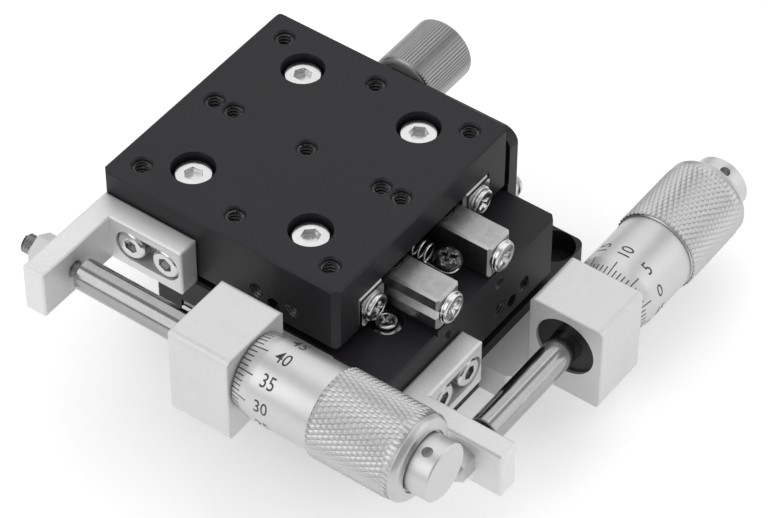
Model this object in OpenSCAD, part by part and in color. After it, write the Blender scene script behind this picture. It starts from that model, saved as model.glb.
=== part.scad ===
// Two-axis crossed-roller translation stage. Each axis is the same unit, turned a quarter turn:
// a lower carriage with two inner rails, an upper carriage with two outer rails, crossed rollers
// between them, a return spring in the middle, a micrometer head on one side and a lock on the
// other. The base, the cross block and the table stack as lower, shared and upper carriage.
// The model rests with both spindles run fully out, so both carriages stand half a travel back.

/* [Carriages] */
// Width of the square base, cross block and table
stage_w = 60; // [58:0.5:68]
// Thickness of the table and of the cross block
carriage_t = 16.5; // [15.5:0.25:20]
// Thickness of the base
base_t = 11; // [11:0.25:15]
// Running gap between two carriages
carriage_gap = 2; // [1.8:0.05:2.5]
// Travel of each axis
travel = 25; // [12:0.5:25]
// Chamfer of the upright edges of the table and the cross block
corner_chamfer = 1.4; // [0.3:0.1:2]
// Chamfer of the rims of the table and the cross block
rim_chamfer = 0.5; // [0.2:0.05:1]
// Radius of the upright edges of the base
base_corner_r = 2.4; // [1:0.1:3.5]

/* [Hole patterns] */
// Distance from a side of the table to its tapped holes
table_hole_in = 6; // [5.5:0.25:6.5]
// Distance between a tapped hole at a side and its neighbour
pair_step = 5; // [4.9:0.1:5.6]
// Radius of the tapped holes of the table
tap_r = 2; // [1.6:0.05:2.1]
// Radius of the mouth of a tapped hole
tap_mouth_r = 2.4; // [2.2:0.05:2.6]
// Depth of the tapped holes of the table
tap_depth = 5.7; // [5:0.1:5.8]
// Distance from a side of the base to its mounting holes
base_hole_in = 5; // [4.75:0.05:5.5]
// Radius of the mounting holes of the base
base_hole_r = 2.75; // [2.2:0.05:2.9]

/* [Rails] */
// Thickness of the side walls of a carriage, as a share of half its width
side_wall_share = 0.2433; // [0.24:0.0001:0.25]
// Distance from the middle of the stage to an inner rail
inner_rail_v = 5.3; // [4.9:0.05:5.6]
// Share of the width of a pair of rails that the inner rail takes
inner_rail_share = 0.468; // [0.45:0.001:0.5]
// Height of an inner rail
inner_rail_h = 8.8; // [8.6:0.05:9.2]
// Height of an outer rail
outer_rail_h = 8.6; // [8.3:0.05:8.8]
// Gap between an inner and an outer rail
rail_gap = 1.6; // [1.3:0.05:1.8]
// Height of the seat that the inner rails stand on
pedestal_h = 1; // [0.8:0.05:1.3]
// Clearance from the top of the inner rails to the ceiling of the channel
ceiling_gap = 1.1; // [0.8:0.05:1.4]
// Diameter of a crossed roller
roller_d = 3; // [2.6:0.05:3.2]
// Distance from the foot of an inner rail to its groove
groove_rise = 4.4; // [4:0.05:4.6]
// Least distance between two rollers of a cage
roller_step = 4.1; // [3.9:0.05:6]

/* [Micrometer heads] */
// Distance from the side of the stage to the spindle axis
axis_out = 16.8; // [16.4:0.1:19]
// Distance from the top of an upper carriage to the spindle axis
axis_drop = 11.35; // [11:0.05:11.8]
// Radius of the spindle
spindle_r = 3.5; // [3:0.05:4]
// Radius of the sleeve
sleeve_r = 7.05; // [6.6:0.05:7.2]
// Radius of the graduated thimble
thimble_r = 9.15; // [8.8:0.05:9.6]
// How far the graduated edge lies below the thimble
thimble_edge_drop = 0.85; // [0.55:0.05:1.1]
// Length of the bevel that carries the graduation
thimble_bevel = 4; // [2:0.1:8]
// Length of the thimble up to the grip
thimble_plain_l = 18.8; // [14:0.1:22]
// Length of the knurled grip
grip_l = 21.3; // [16:0.1:24]
// How far the knurled grip stands above the thimble
grip_rise = 0.75; // [0.4:0.05:1.5]
// Length of the bevelled end of the grip
grip_bevel = 1.8; // [1:0.1:3]
// Depth of the bevel at the end of the grip
grip_rim_drop = 0.9; // [0.4:0.05:1.2]
// Radius of the end cap
cap_r = 6.4; // [5:0.05:7.5]
// Length of the end cap
cap_l = 5.6; // [5:0.1:8]

/* [Holders] */
// Length of a holder block along the spindle
block_l = 14.8; // [13:0.1:16]
// Width of a holder block
block_w = 18.2; // [18:0.1:19]
// Height of a holder block
block_h = 22.6; // [20:0.1:23]
// Distance from the top of a holder block to the spindle axis
block_above = 9.2; // [9:0.1:9.8]
// Distance from the middle of the lower carriage to the middle of the holder block
block_offset = 2.8; // [1:0.1:4]
// Radius of the long edges of a holder block
block_edge_r = 1.7; // [0.5:0.1:2.5]
// Height of the foot of a holder
foot_h = 7.5; // [7.2:0.1:8]
// Length of the foot on each side of the holder block
foot_reach = 6.3; // [6.2:0.1:8]
// Distance from the top of the base to the foot of the holder on it
base_foot_drop = 3; // [2.8:0.1:3.4]

/* [Brackets] */
// Length of the plate of an anvil bracket
bracket_l = 23.8; // [23:0.1:25]
// Thickness of the plate of an anvil bracket
bracket_plate_t = 5.4; // [5.2:0.05:5.6]
// Height of an anvil bracket
bracket_h = 12; // [10:0.1:12.5]
// Thickness of the arm of an anvil bracket
bracket_arm_t = 5.4; // [4:0.1:6]
// Length of the arm, from the side of the stage to its end
bracket_arm_l = 26.6; // [24:0.1:30]
// Distance from the top of a carriage to the top of its bracket
bracket_drop = 5.6; // [5:0.1:6]
// Distance from the end of a carriage to its bracket
bracket_inset = 1; // [0.8:0.1:2]
// Spacing of the bracket screws
bracket_screw_pitch = 9; // [8.6:0.1:9.4]
// Distance that the head of the lower axis sits further along its side
y_head_shift = 1; // [-1:0.1:1.5]

/* [Locks] */
// Width of a lock plate beyond each end of its slot
lock_plate_margin = 2.3; // [2:0.1:5]
// Thickness of a lock plate
lock_plate_t = 3.2; // [2.4:0.1:4]
// Radius of the upper corners of a lock plate
lock_corner_r = 3.5; // [1:0.1:5]
// Radius of a lock knob
knob_r = 7.4; // [6.5:0.1:8]
// Length of a lock knob
knob_l = 15.4; // [10:0.1:18]

/* [Springs] */
// Distance from the end of a carriage to its spring post
post_in = 6.7; // [5.8:0.1:7.5]
// Radius of the middle of the spring wire
coil_r = 2.3; // [2.2:0.02:2.4]
// Diameter of the spring wire
wire_d = 0.8; // [0.6:0.02:0.86]
// Turns of one return spring
coil_turns = 18; // [12:1:20]

/* [Hidden] */
$fn = 72;

// Overrun of every cut past the face that it opens
cut = 1;
// Play of a screw in its threads, and of a part that is pushed into a bore
fit_c = 0.04;
// Play of a turning or rolling part
run_c = 0.06;
// Gap that keeps a moving face off a still one
face_c = 0.3;

// Half sizes and levels of one unit, whose zero level is the top of its lower carriage
half_w = stage_w / 2;
half_travel = travel / 2;
table_pitch = stage_w - 2 * table_hole_in;
pair_pitch = table_pitch - 2 * pair_step;
base_pitch = stage_w - 2 * base_hole_in;
post_u = half_w - post_in;
rail_z = pedestal_h;
rail_top = rail_z + inner_rail_h;
ceiling_z = rail_top + ceiling_gap;
channel_h = ceiling_z - carriage_gap;
roof_t = carriage_t - channel_h;
groove_z = rail_z + groove_rise;
side_wall_t = side_wall_share * half_w;
channel_v = half_w - side_wall_t;
rail_pair_w = channel_v - inner_rail_v - rail_gap;
inner_rail_w = inner_rail_share * rail_pair_w;
outer_rail_w = rail_pair_w - inner_rail_w;
inner_face_v = inner_rail_v + inner_rail_w;
outer_face_v = inner_face_v + rail_gap;
cage_v = inner_face_v + rail_gap / 2;
inner_mid_v = inner_rail_v + inner_rail_w / 2;
outer_mid_v = outer_face_v + outer_rail_w / 2;
pedestal_v = inner_face_v;
rail_edge = 0.5;
rail_end_edge = 0.7;

// Small screws: pan head with a cross recess, and washer
small_r = 1.5;
pan_r = 3;
pan_h = 2;
washer_r = 3.4;
washer_t = 0.5;
flush_washer_r = 3.2;
cross_w = 0.9;
cross_l = 3.6;
cross_deep = 1.1;
// Small socket screws
small_head_r = 2.75;
small_head_h = 3;
small_hex_r = 1.45;
head_c = 0.1;

// Socket screws of the brackets
bracket_screw_r = 2;
bracket_head_r = 3.5;
bracket_head_h = 4;
bracket_hex_r = 1.73;
head_sink = 0.1;

// Low-head screws that hold the outer rails to the table
table_screw_r = 2.5;
table_head_r = 4.25;
table_head_h = 3.5;
table_hex_r = 2.31;
table_head_sink = 1.6;
table_bore_r = 4.75;
rail_screw_in = 15;
table_screw_u = half_w - rail_screw_in;
table_thread = 5;

// Screws that hold the outer rails to the cross block
cross_screw_in = 14.1;
cross_screw_out = 1;
cross_screw_u = half_w - cross_screw_in;
cross_screw_v = outer_mid_v + cross_screw_out;
cross_bore_r = 3.5;
cross_bore_deep = 1.5;
cross_thread = 5;

// Screws that hold the inner rails down
inner_screw_u = half_w - rail_screw_in;
inner_thread = 5;

// Cages and rollers
cage_t = 0.6;
cage_h = 5.2;
cage_end = 2.2;
cage_spare = 1.15;
window_c = 0.12;
cage_l = stage_w - half_travel - 2 * cage_spare;
roller_span = cage_l - 2 * cage_end - roller_d;
roller_count = 1 + floor(roller_span / roller_step);
roller_pitch = roller_span / (roller_count - 1);

// Square plates at the ends of the outer rails
plate_w = 7.4;
plate_t = 0.5;
plate_corner = 0.5;
plate_drop = 12.1;
plate_mid_z = carriage_gap + carriage_t - plate_drop;
end_thread = 5;

// Tapped holes in the sides of the carriages
bracket_screw_edge = 4.4;
bracket_screw_in = half_w - bracket_inset - bracket_l + bracket_screw_edge;
side_tap_u = [bracket_screw_in, bracket_screw_in + bracket_screw_pitch];
tap_floor = 1;
side_tap_depth = side_wall_t - tap_floor;
preload_u = bracket_screw_in + bracket_screw_pitch / 2;
preload_z = 4;
preload_sink = 0.9;
end_tap_v = 9.15;
end_tap_drop = 3.25;
end_tap_depth = 5.5;

// Brackets and anvil screws, in the frame of the upper carriage
bracket_z = carriage_t - bracket_drop - bracket_h;
bracket_u = -half_w + bracket_inset;
bracket_edge_r = 0.7;
bracket_axis_z = carriage_t - axis_drop;
bracket_screw_u = -side_tap_u[0];
anvil_r = 2;
anvil_out = 7.2;
anvil_in = 2.2;
anvil_point_r = 1.5;
anvil_c = 0.1;
anvil_nut_t = 4;
anvil_nut_af = 7;
anvil_hex_r = 1.15;
anvil_hex_deep = 2;

// Spindle line, in the frame of the lower carriage
axis_v = half_w + axis_out;
axis_z = carriage_gap + bracket_axis_z;
block_u0 = block_offset - block_l / 2;
block_u1 = block_offset + block_l / 2;
block_v0 = axis_v - block_w / 2;
block_z1 = axis_z + block_above;
block_z0 = block_z1 - block_h;
bush_sink = 0.8;
bush_l = 4;
sleeve_bore_r = 5.2;
nut_length = 8;
sleeve_u0 = block_u0 + bush_sink + bush_l;
thimble_c = 0.5;
thimble_bore_r = sleeve_r + thimble_c;
thimble_edge_r = thimble_r - thimble_edge_drop;
grip_r = thimble_r + grip_rise;
grip_rim_r = grip_r - grip_rim_drop;
thimble_u0 = block_u1 + face_c;
grip_u0 = thimble_u0 + thimble_plain_l;
grip_u1 = grip_u0 + grip_l;
grip_step = 0.8;
hub_t = 3;
spindle_end = grip_u1 - face_c;
stub_r = 2.9;
stub_l = 4.5;
tip_u = -half_travel + bracket_u + bracket_arm_t + anvil_in + anvil_c;
tip_edge = 0.3;
sleeve_end_c = 4;
sleeve_u1 = spindle_end - hub_t - sleeve_end_c;
spanner_hole_r = 1.15;
spanner_hole_deep = 2;
spanner_angle = 198;

// Holder feet
foot_t = block_v0 - half_w;
foot_screw_u = [block_u0 - small_head_r - 1.5 * head_c, block_u1 + small_head_r + 1.5 * head_c];
block_rim_r = 0.4;
foot_seat_t = 3.2;
foot_thread = 5.5;
foot_edge = 1;

// Locks
lock_rise = 0.25;
lock_z = carriage_gap + carriage_t / 2 + lock_rise;
lock_plate_low = 3.8;
lock_plate_top = carriage_gap + carriage_t - lock_plate_low;
lock_plate_drop = 7.2;
lock_slot_r = 2.4;
lock_slot_half = half_travel + face_c;
lock_plate_w = 2 * (lock_slot_half + lock_slot_r + lock_plate_margin);
lock_screw_in = 3.6;
lock_screw_u = lock_plate_w / 2 - lock_screw_in;
lock_screw_drop = 4.6;
lock_thread = 5;
stud_r = 2;
stud_floor_c = 0.8;
lock_hole_depth = side_wall_t - tap_floor;
stud_in = lock_hole_depth - stud_floor_c;
knob_edge = 0.6;
knob_dish_r = 5.2;
knob_dish = 0.5;

// Spring posts
post_neck_r = 1.5;
post_head_r = 3.15;
post_head_h = 1.8;
post_thread_r = 2;
post_thread = 4;
spring_rise = 4.9;
hook_c = 0.7;
spring_z = rail_z + spring_rise;
post_head_z = spring_z + wire_d / 2 + hook_c;
upper_head_z = spring_z - wire_d / 2 - hook_c;
post_to_tap = 5.5;
upper_post_in_table = pair_pitch / 2 - post_to_tap;
upper_post_u = -half_travel - upper_post_in_table;
lead_l = 2.1;
bend_r = 0.8;
wire_sides = 6;
turn_steps = 8;
hook_steps = 9;

// Colours
black_anodised = [0.09, 0.09, 0.095];
clear_anodised = [0.78, 0.78, 0.79];
ground_steel = [0.66, 0.66, 0.67];
bright_steel = [0.74, 0.74, 0.75];
satin_chrome = [0.72, 0.72, 0.73];
dark_steel = [0.16, 0.16, 0.17];

// Frames and directions
module in_x_unit() {
    translate([0, -half_travel, base_t + carriage_gap + carriage_t]) children();
}
module in_y_unit() {
    translate([0, 0, base_t]) rotate([0, 0, 90]) children();
}
module in_y_head() {
    in_y_unit() translate([y_head_shift, 0, 0]) children();
}
module on_upper() {
    translate([-half_travel, 0, carriage_gap]) children();
}
module both_sides() {
    children();
    mirror([0, 1, 0]) children();
}
module both_ends() {
    children();
    mirror([1, 0, 0]) children();
}
module along_u(l) {
    rotate([90, 0, 90]) linear_extrude(height = l, center = true) children();
}
module along_v(l) {
    rotate([90, 0, 0]) linear_extrude(height = l, center = true) children();
}
module face_u() {
    rotate([0, 90, 0]) children();
}
module face_minus_v() {
    rotate([90, 0, 0]) children();
}
module face_plus_v() {
    rotate([-90, 0, 0]) children();
}
module on_axis(u) {
    translate([u, -axis_v, axis_z]) face_u() children();
}

// Plane outlines
module chamfered_square(w, h, c) {
    polygon([
        [c - w / 2, -h / 2], [w / 2 - c, -h / 2], [w / 2, c - h / 2], [w / 2, h / 2 - c],
        [w / 2 - c, h / 2], [c - w / 2, h / 2], [-w / 2, h / 2 - c], [-w / 2, c - h / 2]
    ]);
}
module rounded_square(w, h, r) {
    square([w - 2 * r, h], center = true);
    square([w, h - 2 * r], center = true);
    for (x = [r - w / 2, w / 2 - r], y = [r - h / 2, h / 2 - r]) translate([x, y]) circle(r);
}
module slot_outline(half_l, r) {
    square([2 * half_l, 2 * r], center = true);
    for (x = [-half_l, half_l]) translate([x, 0]) circle(r);
}

// Solids that repeat
module slab(w, t, corner, rim) {
    translate([0, 0, t / 2]) intersection() {
        linear_extrude(height = t, center = true) chamfered_square(w, w, corner);
        along_u(w) chamfered_square(w, t, rim);
        along_v(w) chamfered_square(w, t, rim);
    }
}
module rounded_block(lo, hi, long_r, rim_r) {
    size = hi - lo;
    translate((lo + hi) / 2) intersection() {
        linear_extrude(height = size.z, center = true) rounded_square(size.x, size.y, rim_r);
        along_u(size.x) rounded_square(size.y, size.z, long_r);
        along_v(size.y) rounded_square(size.x, size.z, rim_r);
    }
}
module block_between(lo, hi) {
    translate(lo) cube(hi - lo);
}
module drill(r, depth) {
    translate([0, 0, -depth]) cylinder(r = r, h = depth + cut);
}
module tapped_hole(r, mouth_r, depth) {
    drill(r, depth);
    translate([0, 0, r - mouth_r]) cylinder(r1 = r, r2 = mouth_r + cut, h = mouth_r - r + cut);
}
// Socket-head screw: its head sits on the zero level and its shank goes down
module socket_screw(r, l, head_r, head_h, hex_r) {
    difference() {
        union() {
            translate([0, 0, -l]) cylinder(r = r, h = l);
            rotate_extrude() polygon([
                [0, 0], [head_r, 0], [head_r, head_h - head_r / 12],
                [head_r - head_r / 12, head_h], [0, head_h]
            ]);
        }
        translate([0, 0, head_h / 2]) cylinder(r = hex_r, h = head_h, $fn = 6);
    }
}
// Pan-head screw with a cross recess
module pan_screw(r, l) {
    difference() {
        union() {
            translate([0, 0, -l]) cylinder(r = r, h = l);
            intersection() {
                cylinder(r = pan_r, h = pan_h);
                translate([0, 0, pan_h - 2 * pan_r]) sphere(2 * pan_r);
            }
        }
        for (a = [0, 90]) rotate([0, 0, a + 45])
            translate([-cross_l / 2, -cross_w / 2, pan_h - cross_deep]) cube([cross_l, cross_w, pan_h]);
    }
}
module washer(rim_r) {
    difference() {
        cylinder(r = rim_r, h = washer_t);
        translate([0, 0, -cut]) cylinder(r = small_r, h = washer_t + 2 * cut);
    }
}

// Cuts in a carriage that carries outer rails, in the frame of the upper carriage
module upper_cuts(head_shift) {
    block_between([-half_w - cut, -channel_v, -cut], [half_w + cut, channel_v, channel_h]);
    for (u = side_tap_u, side = [head_shift - u, u])
        translate([side, -half_w, bracket_axis_z]) face_minus_v()
            drill(bracket_screw_r, side_tap_depth);
    both_ends() translate([preload_u, -half_w, preload_z]) face_minus_v()
        drill(small_r, half_w - channel_v + cut);
    translate([0, half_w, lock_z - carriage_gap]) face_plus_v() drill(stud_r, lock_hole_depth);
    translate([-upper_post_in_table, 0, channel_h]) rotate([180, 0, 0])
        drill(post_thread_r, post_thread);
}
// Cuts in a carriage that carries inner rails, below the zero level
module lower_cuts(foot_mid_z, head_shift) {
    translate([post_u, 0, rail_z]) drill(post_thread_r, post_thread);
    both_ends() both_sides() translate([inner_screw_u, inner_mid_v, rail_z])
        drill(small_r, inner_thread);
    both_ends() both_sides() translate([half_w, end_tap_v, -end_tap_drop]) face_u()
        drill(small_r, end_tap_depth);
    for (u = foot_screw_u) translate([u + head_shift, -half_w, foot_mid_z]) face_minus_v()
        drill(small_r, foot_thread);
    both_ends() translate([lock_screw_u, half_w, -lock_screw_drop]) face_plus_v()
        drill(small_r, lock_thread);
}
module pedestal() {
    block_between([-half_w, -pedestal_v, -cut], [half_w, pedestal_v, rail_z]);
}

// Base, cross block and table
module base_block() color(black_anodised) difference() {
    union() {
        linear_extrude(height = base_t) rounded_square(stage_w, stage_w, base_corner_r);
        in_y_unit() pedestal();
    }
    in_y_unit() lower_cuts(-base_foot_drop - foot_h / 2, y_head_shift);
    for (x = [-1, 1], y = [-1, 1]) translate([x * base_pitch / 2, y * base_pitch / 2, base_t]) {
        drill(base_hole_r, base_t + cut);
        drill(table_bore_r, base_t / 2);
    }
}
module cross_block() color(black_anodised) difference() {
    union() {
        in_y_unit() on_upper() slab(stage_w, carriage_t, corner_chamfer, rim_chamfer);
        in_x_unit() pedestal();
    }
    in_y_unit() on_upper() {
        upper_cuts(y_head_shift);
        both_ends() both_sides() translate([cross_screw_u, cross_screw_v, carriage_t]) {
            drill(small_r, roof_t + cut);
            drill(cross_bore_r, cross_bore_deep);
        }
    }
    in_x_unit() lower_cuts(-foot_h / 2, 0);
}
module table_block() color(black_anodised) in_x_unit() on_upper() difference() {
    slab(stage_w, carriage_t, corner_chamfer, rim_chamfer);
    upper_cuts(0);
    translate([0, 0, carriage_t]) {
        for (x = [-1, 0, 1], y = [-1, 0, 1]) translate([x, y, 0] * table_pitch / 2)
            tapped_hole(tap_r, tap_mouth_r, tap_depth);
        both_ends() translate([pair_pitch / 2, 0, 0]) tapped_hole(tap_r, tap_mouth_r, tap_depth);
        both_ends() both_sides() translate([table_screw_u, outer_mid_v, 0]) {
            drill(table_screw_r + fit_c, roof_t + cut);
            drill(table_bore_r, table_head_sink + table_head_h);
        }
    }
}

// Rails, cages and rollers, in the frame of one unit
module groove() {
    along_u(2 * stage_w) translate([cage_v, groove_z]) rotate(45) square(roller_d, center = true);
}
module rail_bar(w, h) {
    intersection() {
        along_u(stage_w) chamfered_square(w, h, rail_edge);
        along_v(w) chamfered_square(stage_w, h, rail_end_edge);
        linear_extrude(height = h, center = true) chamfered_square(stage_w, w, rail_end_edge);
    }
}
module inner_rails() color(ground_steel) both_sides() difference() {
    translate([0, inner_mid_v, rail_z + inner_rail_h / 2]) rail_bar(inner_rail_w, inner_rail_h);
    groove();
    both_ends() {
        translate([inner_screw_u, inner_mid_v, rail_top]) {
            drill(small_r + fit_c, inner_rail_h + cut);
            drill(small_head_r + head_c, small_head_h + head_sink);
        }
        translate([half_w, inner_mid_v, rail_z + inner_rail_h / 2]) face_u()
            drill(small_r, end_thread);
    }
}
module outer_rails(screw_u, screw_v, screw_r) color(ground_steel)
    on_upper() both_sides() difference() {
        translate([0, outer_mid_v, channel_h - outer_rail_h / 2])
            rail_bar(outer_rail_w, outer_rail_h);
        translate([0, 0, -carriage_gap]) groove();
        both_ends() {
            translate([screw_u, screw_v, channel_h]) drill(screw_r, table_thread + face_c);
            translate([half_w, outer_mid_v, plate_mid_z - carriage_gap]) face_u()
                drill(small_r, end_thread);
        }
    }
module table_outer_rails() outer_rails(table_screw_u, outer_mid_v, table_screw_r);
module cross_outer_rails() outer_rails(cross_screw_u, cross_screw_v, small_r);
function roller_u(i) = (i - (roller_count - 1) / 2) * roller_pitch - half_travel / 2;
module roller_cages() color(bright_steel) both_sides() difference() {
    translate([-half_travel / 2, cage_v, groove_z]) cube([cage_l, cage_t, cage_h], center = true);
    for (i = [0:roller_count - 1]) translate([roller_u(i), cage_v, groove_z])
        cube([roller_d, cage_t + cut, roller_d * sqrt(2)] + [1, 0, 1] * 2 * window_c, center = true);
}
module rollers() color(bright_steel) both_sides() for (i = [0:roller_count - 1])
    translate([roller_u(i), cage_v, groove_z]) rotate([i % 2 == 0 ? 45 : -45, 0, 0])
        cylinder(r = roller_d / 2 - run_c, h = roller_d - 4 * run_c, center = true);
module inner_rail_screws() color(dark_steel) both_ends() both_sides()
    translate([inner_screw_u, inner_mid_v, rail_top - small_head_h - head_sink])
        socket_screw(small_r - fit_c, inner_rail_h - small_head_h + inner_thread - cut,
            small_head_r, small_head_h, small_hex_r);
module table_rail_screws() color(bright_steel) on_upper() both_ends() both_sides()
    translate([table_screw_u, outer_mid_v, carriage_t - table_head_sink - table_head_h])
        socket_screw(table_screw_r - fit_c, roof_t - table_head_sink - table_head_h + table_thread,
            table_head_r, table_head_h, table_hex_r);
module cross_rail_screws() color(bright_steel) on_upper() both_ends() both_sides()
    translate([cross_screw_u, cross_screw_v, carriage_t - cross_bore_deep]) {
        washer(flush_washer_r);
        translate([0, 0, washer_t])
            pan_screw(small_r - fit_c, washer_t + roof_t - cross_bore_deep + cross_thread);
    }
module rail_end_screws() color(bright_steel) both_ends() both_sides()
    translate([half_w, inner_mid_v, rail_z + inner_rail_h / 2]) face_u() {
        washer(washer_r);
        translate([0, 0, washer_t]) pan_screw(small_r - fit_c, washer_t + end_thread - cut);
    }
module rail_end_plates() color(bright_steel) on_upper() both_ends() both_sides()
    translate([half_w, outer_mid_v, plate_mid_z - carriage_gap]) face_u()
        linear_extrude(height = plate_t) difference() {
            chamfered_square(plate_w, plate_w, plate_corner);
            circle(small_r);
        }
module plate_screws() color(bright_steel) on_upper() both_ends() both_sides()
    translate([half_w + plate_t, outer_mid_v, plate_mid_z - carriage_gap]) face_u()
        pan_screw(small_r - fit_c, plate_t + end_thread - cut);
module preload_screws() color(dark_steel) on_upper() both_ends()
    translate([preload_u, -half_w + preload_sink, preload_z]) face_minus_v() difference() {
        translate([0, 0, preload_sink + channel_v - half_w])
            cylinder(r = small_r - fit_c, h = half_w - channel_v - preload_sink);
        translate([0, 0, -anvil_hex_deep]) cylinder(r = small_hex_r / 2, h = half_w, $fn = 6);
    }

// Return spring: one unbroken wire with a hook round each post
function hook_point(centre, a) = [centre + coil_r * cos(a), coil_r * sin(a), 0];
hook_angles = [for (i = [0:hook_steps]) 360 - 270 * i / hook_steps];
coil_start = upper_post_u + coil_r + lead_l;
coil_end = post_u - coil_r - lead_l;
coil_pitch = (coil_end - coil_start) / (coil_turns + 0.5);
half_path = (coil_start + coil_end) / 2;
coil_steps = coil_turns * turn_steps + turn_steps / 2;
first_step = 1;
lead_points = [
    [coil_start - bend_r, coil_r, 0],
    [coil_start - bend_r + bend_r * sin(45), coil_r, bend_r * (1 - cos(45))]
];
function turned(p) = [2 * half_path - p.x, -p.y, p.z];
function reversed(list) = [for (i = [len(list) - 1:-1:0]) list[i]];
start_points = concat([for (a = hook_angles) hook_point(upper_post_u, a)], lead_points);
coil_points = [
    for (i = [first_step:coil_steps - first_step])
        [coil_start + coil_pitch * i / turn_steps,
            coil_r * cos(360 * i / turn_steps), coil_r * sin(360 * i / turn_steps)]
];
spring_points = concat(start_points, coil_points, reversed([for (p = start_points) turned(p)]));
function unit_vector(v) = v / norm(v);
function tangent(p, i) = unit_vector(p[min(i + 1, len(p) - 1)] - p[max(i - 1, 0)]);
function square_to(n, t) = unit_vector(n - (n * t) * t);
function wire_normals(p) = [
    for (i = 0, n = square_to([0, 0, 1], tangent(p, 0)); i < len(p);
        i = i + 1, n = square_to(n, tangent(p, min(i, len(p) - 1)))) n
];
module swept_wire(p, r, sides) {
    normals = wire_normals(p);
    rings = [
        for (i = [0:len(p) - 1], j = [0:sides - 1])
            let (n = normals[i], b = cross(tangent(p, i), n), a = 360 * j / sides)
                p[i] + r * (cos(a) * n + sin(a) * b)
    ];
    walls = [
        for (i = [0:len(p) - 2], j = [0:sides - 1], k = [0, 1])
            let (a = i * sides + j, b = i * sides + (j + 1) % sides)
                k == 0 ? [a, a + sides, b] : [b, a + sides, b + sides]
    ];
    last = (len(p) - 1) * sides;
    caps = [for (j = [1:sides - 2], k = [0, 1])
        k == 0 ? [0, j, j + 1] : [last, last + j + 1, last + j]];
    polyhedron(points = rings, faces = concat(walls, caps));
}
near_steps = turn_steps / 2;
function least_gap(p) = min([
    for (i = [0:len(p) - 1], j = [i + near_steps:len(p) - 1]) norm(p[i] - p[j])
]) - wire_d;
module return_spring() color(bright_steel)
    translate([0, 0, spring_z]) swept_wire(spring_points, wire_d / 2, wire_sides);
echo(spring_pitch = coil_pitch, spring_least_gap = least_gap(spring_points));

// Spring posts
module post(neck_l, sink_l) {
    difference() {
        union() {
            translate([0, 0, -sink_l]) cylinder(r = post_thread_r - fit_c, h = sink_l);
            cylinder(r = post_neck_r, h = neck_l);
            translate([0, 0, neck_l]) rotate_extrude() polygon([
                [0, 0], [post_head_r, 0], [post_head_r, post_head_h / 2],
                [post_head_r - post_head_h / 2, post_head_h], [0, post_head_h]
            ]);
        }
        for (a = [0, 90]) rotate([0, 0, a])
            translate([-cross_l / 2, -cross_w / 2, neck_l + post_head_h - cross_deep])
                cube([cross_l, cross_w, post_head_h]);
    }
}
module lower_spring_post() color(dark_steel)
    translate([post_u, 0, rail_z]) post(post_head_z - rail_z, post_thread - cut / 2);
module upper_spring_post() color(dark_steel) translate([upper_post_u, 0, ceiling_z])
    rotate([180, 0, 0]) post(ceiling_z - upper_head_z, post_thread - cut / 2);

// Holder with the parts of a micrometer head that stand still
module holder(foot_drop) color(clear_anodised) difference() {
    union() {
        rounded_block([block_u0, -block_v0 - block_w, block_z0],
            [block_u1, -block_v0, block_z1], block_edge_r, block_rim_r);
        holder_foot(foot_drop);
        block_between([block_u0 + block_edge_r, -block_v0 - foot_edge - block_edge_r, block_z0],
            [block_u1 - block_edge_r, -half_w, -foot_drop]);
    }
    on_axis(block_u0 - cut) cylinder(r = sleeve_r + fit_c, h = block_l + 2 * cut);
    for (u = foot_screw_u) translate([u, -half_w - foot_t, -foot_drop - foot_h / 2])
        face_minus_v() {
            drill(small_r + fit_c, foot_t + cut);
            drill(small_head_r + head_c, foot_t - foot_seat_t);
        }
}
module holder_foot(foot_drop) {
    foot_l = block_l + 2 * foot_reach;
    translate([block_offset, -half_w - foot_t / 2, -foot_drop - foot_h]) linear_extrude(height = foot_h)
        polygon([
            [-foot_l / 2, foot_t / 2], [-foot_l / 2, foot_edge - foot_t / 2],
            [foot_edge - foot_l / 2, -foot_t / 2], [foot_l / 2 - foot_edge, -foot_t / 2],
            [foot_l / 2, foot_edge - foot_t / 2], [foot_l / 2, foot_t / 2]
        ]);
}
module holder_screws(foot_drop) color(bright_steel) for (u = foot_screw_u)
    translate([u, -half_w - foot_seat_t, -foot_drop - foot_h / 2]) face_minus_v()
        socket_screw(small_r - fit_c, foot_seat_t + foot_thread - cut / 2,
            small_head_r, small_head_h, small_hex_r);
module sleeve() color(satin_chrome) difference() {
    on_axis(sleeve_u0) cylinder(r = sleeve_r, h = sleeve_u1 - sleeve_u0);
    on_axis(sleeve_u0 - cut) cylinder(r = sleeve_bore_r, h = sleeve_u1 - nut_length - sleeve_u0 + cut);
    on_axis(sleeve_u0) cylinder(r = spindle_r + run_c, h = sleeve_u1 - sleeve_u0 + cut);
}
module front_bush() color(dark_steel) difference() {
    on_axis(block_u0 + bush_sink) cylinder(r = sleeve_r, h = bush_l);
    on_axis(block_u0) cylinder(r = spindle_r + run_c, h = bush_sink + bush_l + cut);
}

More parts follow.
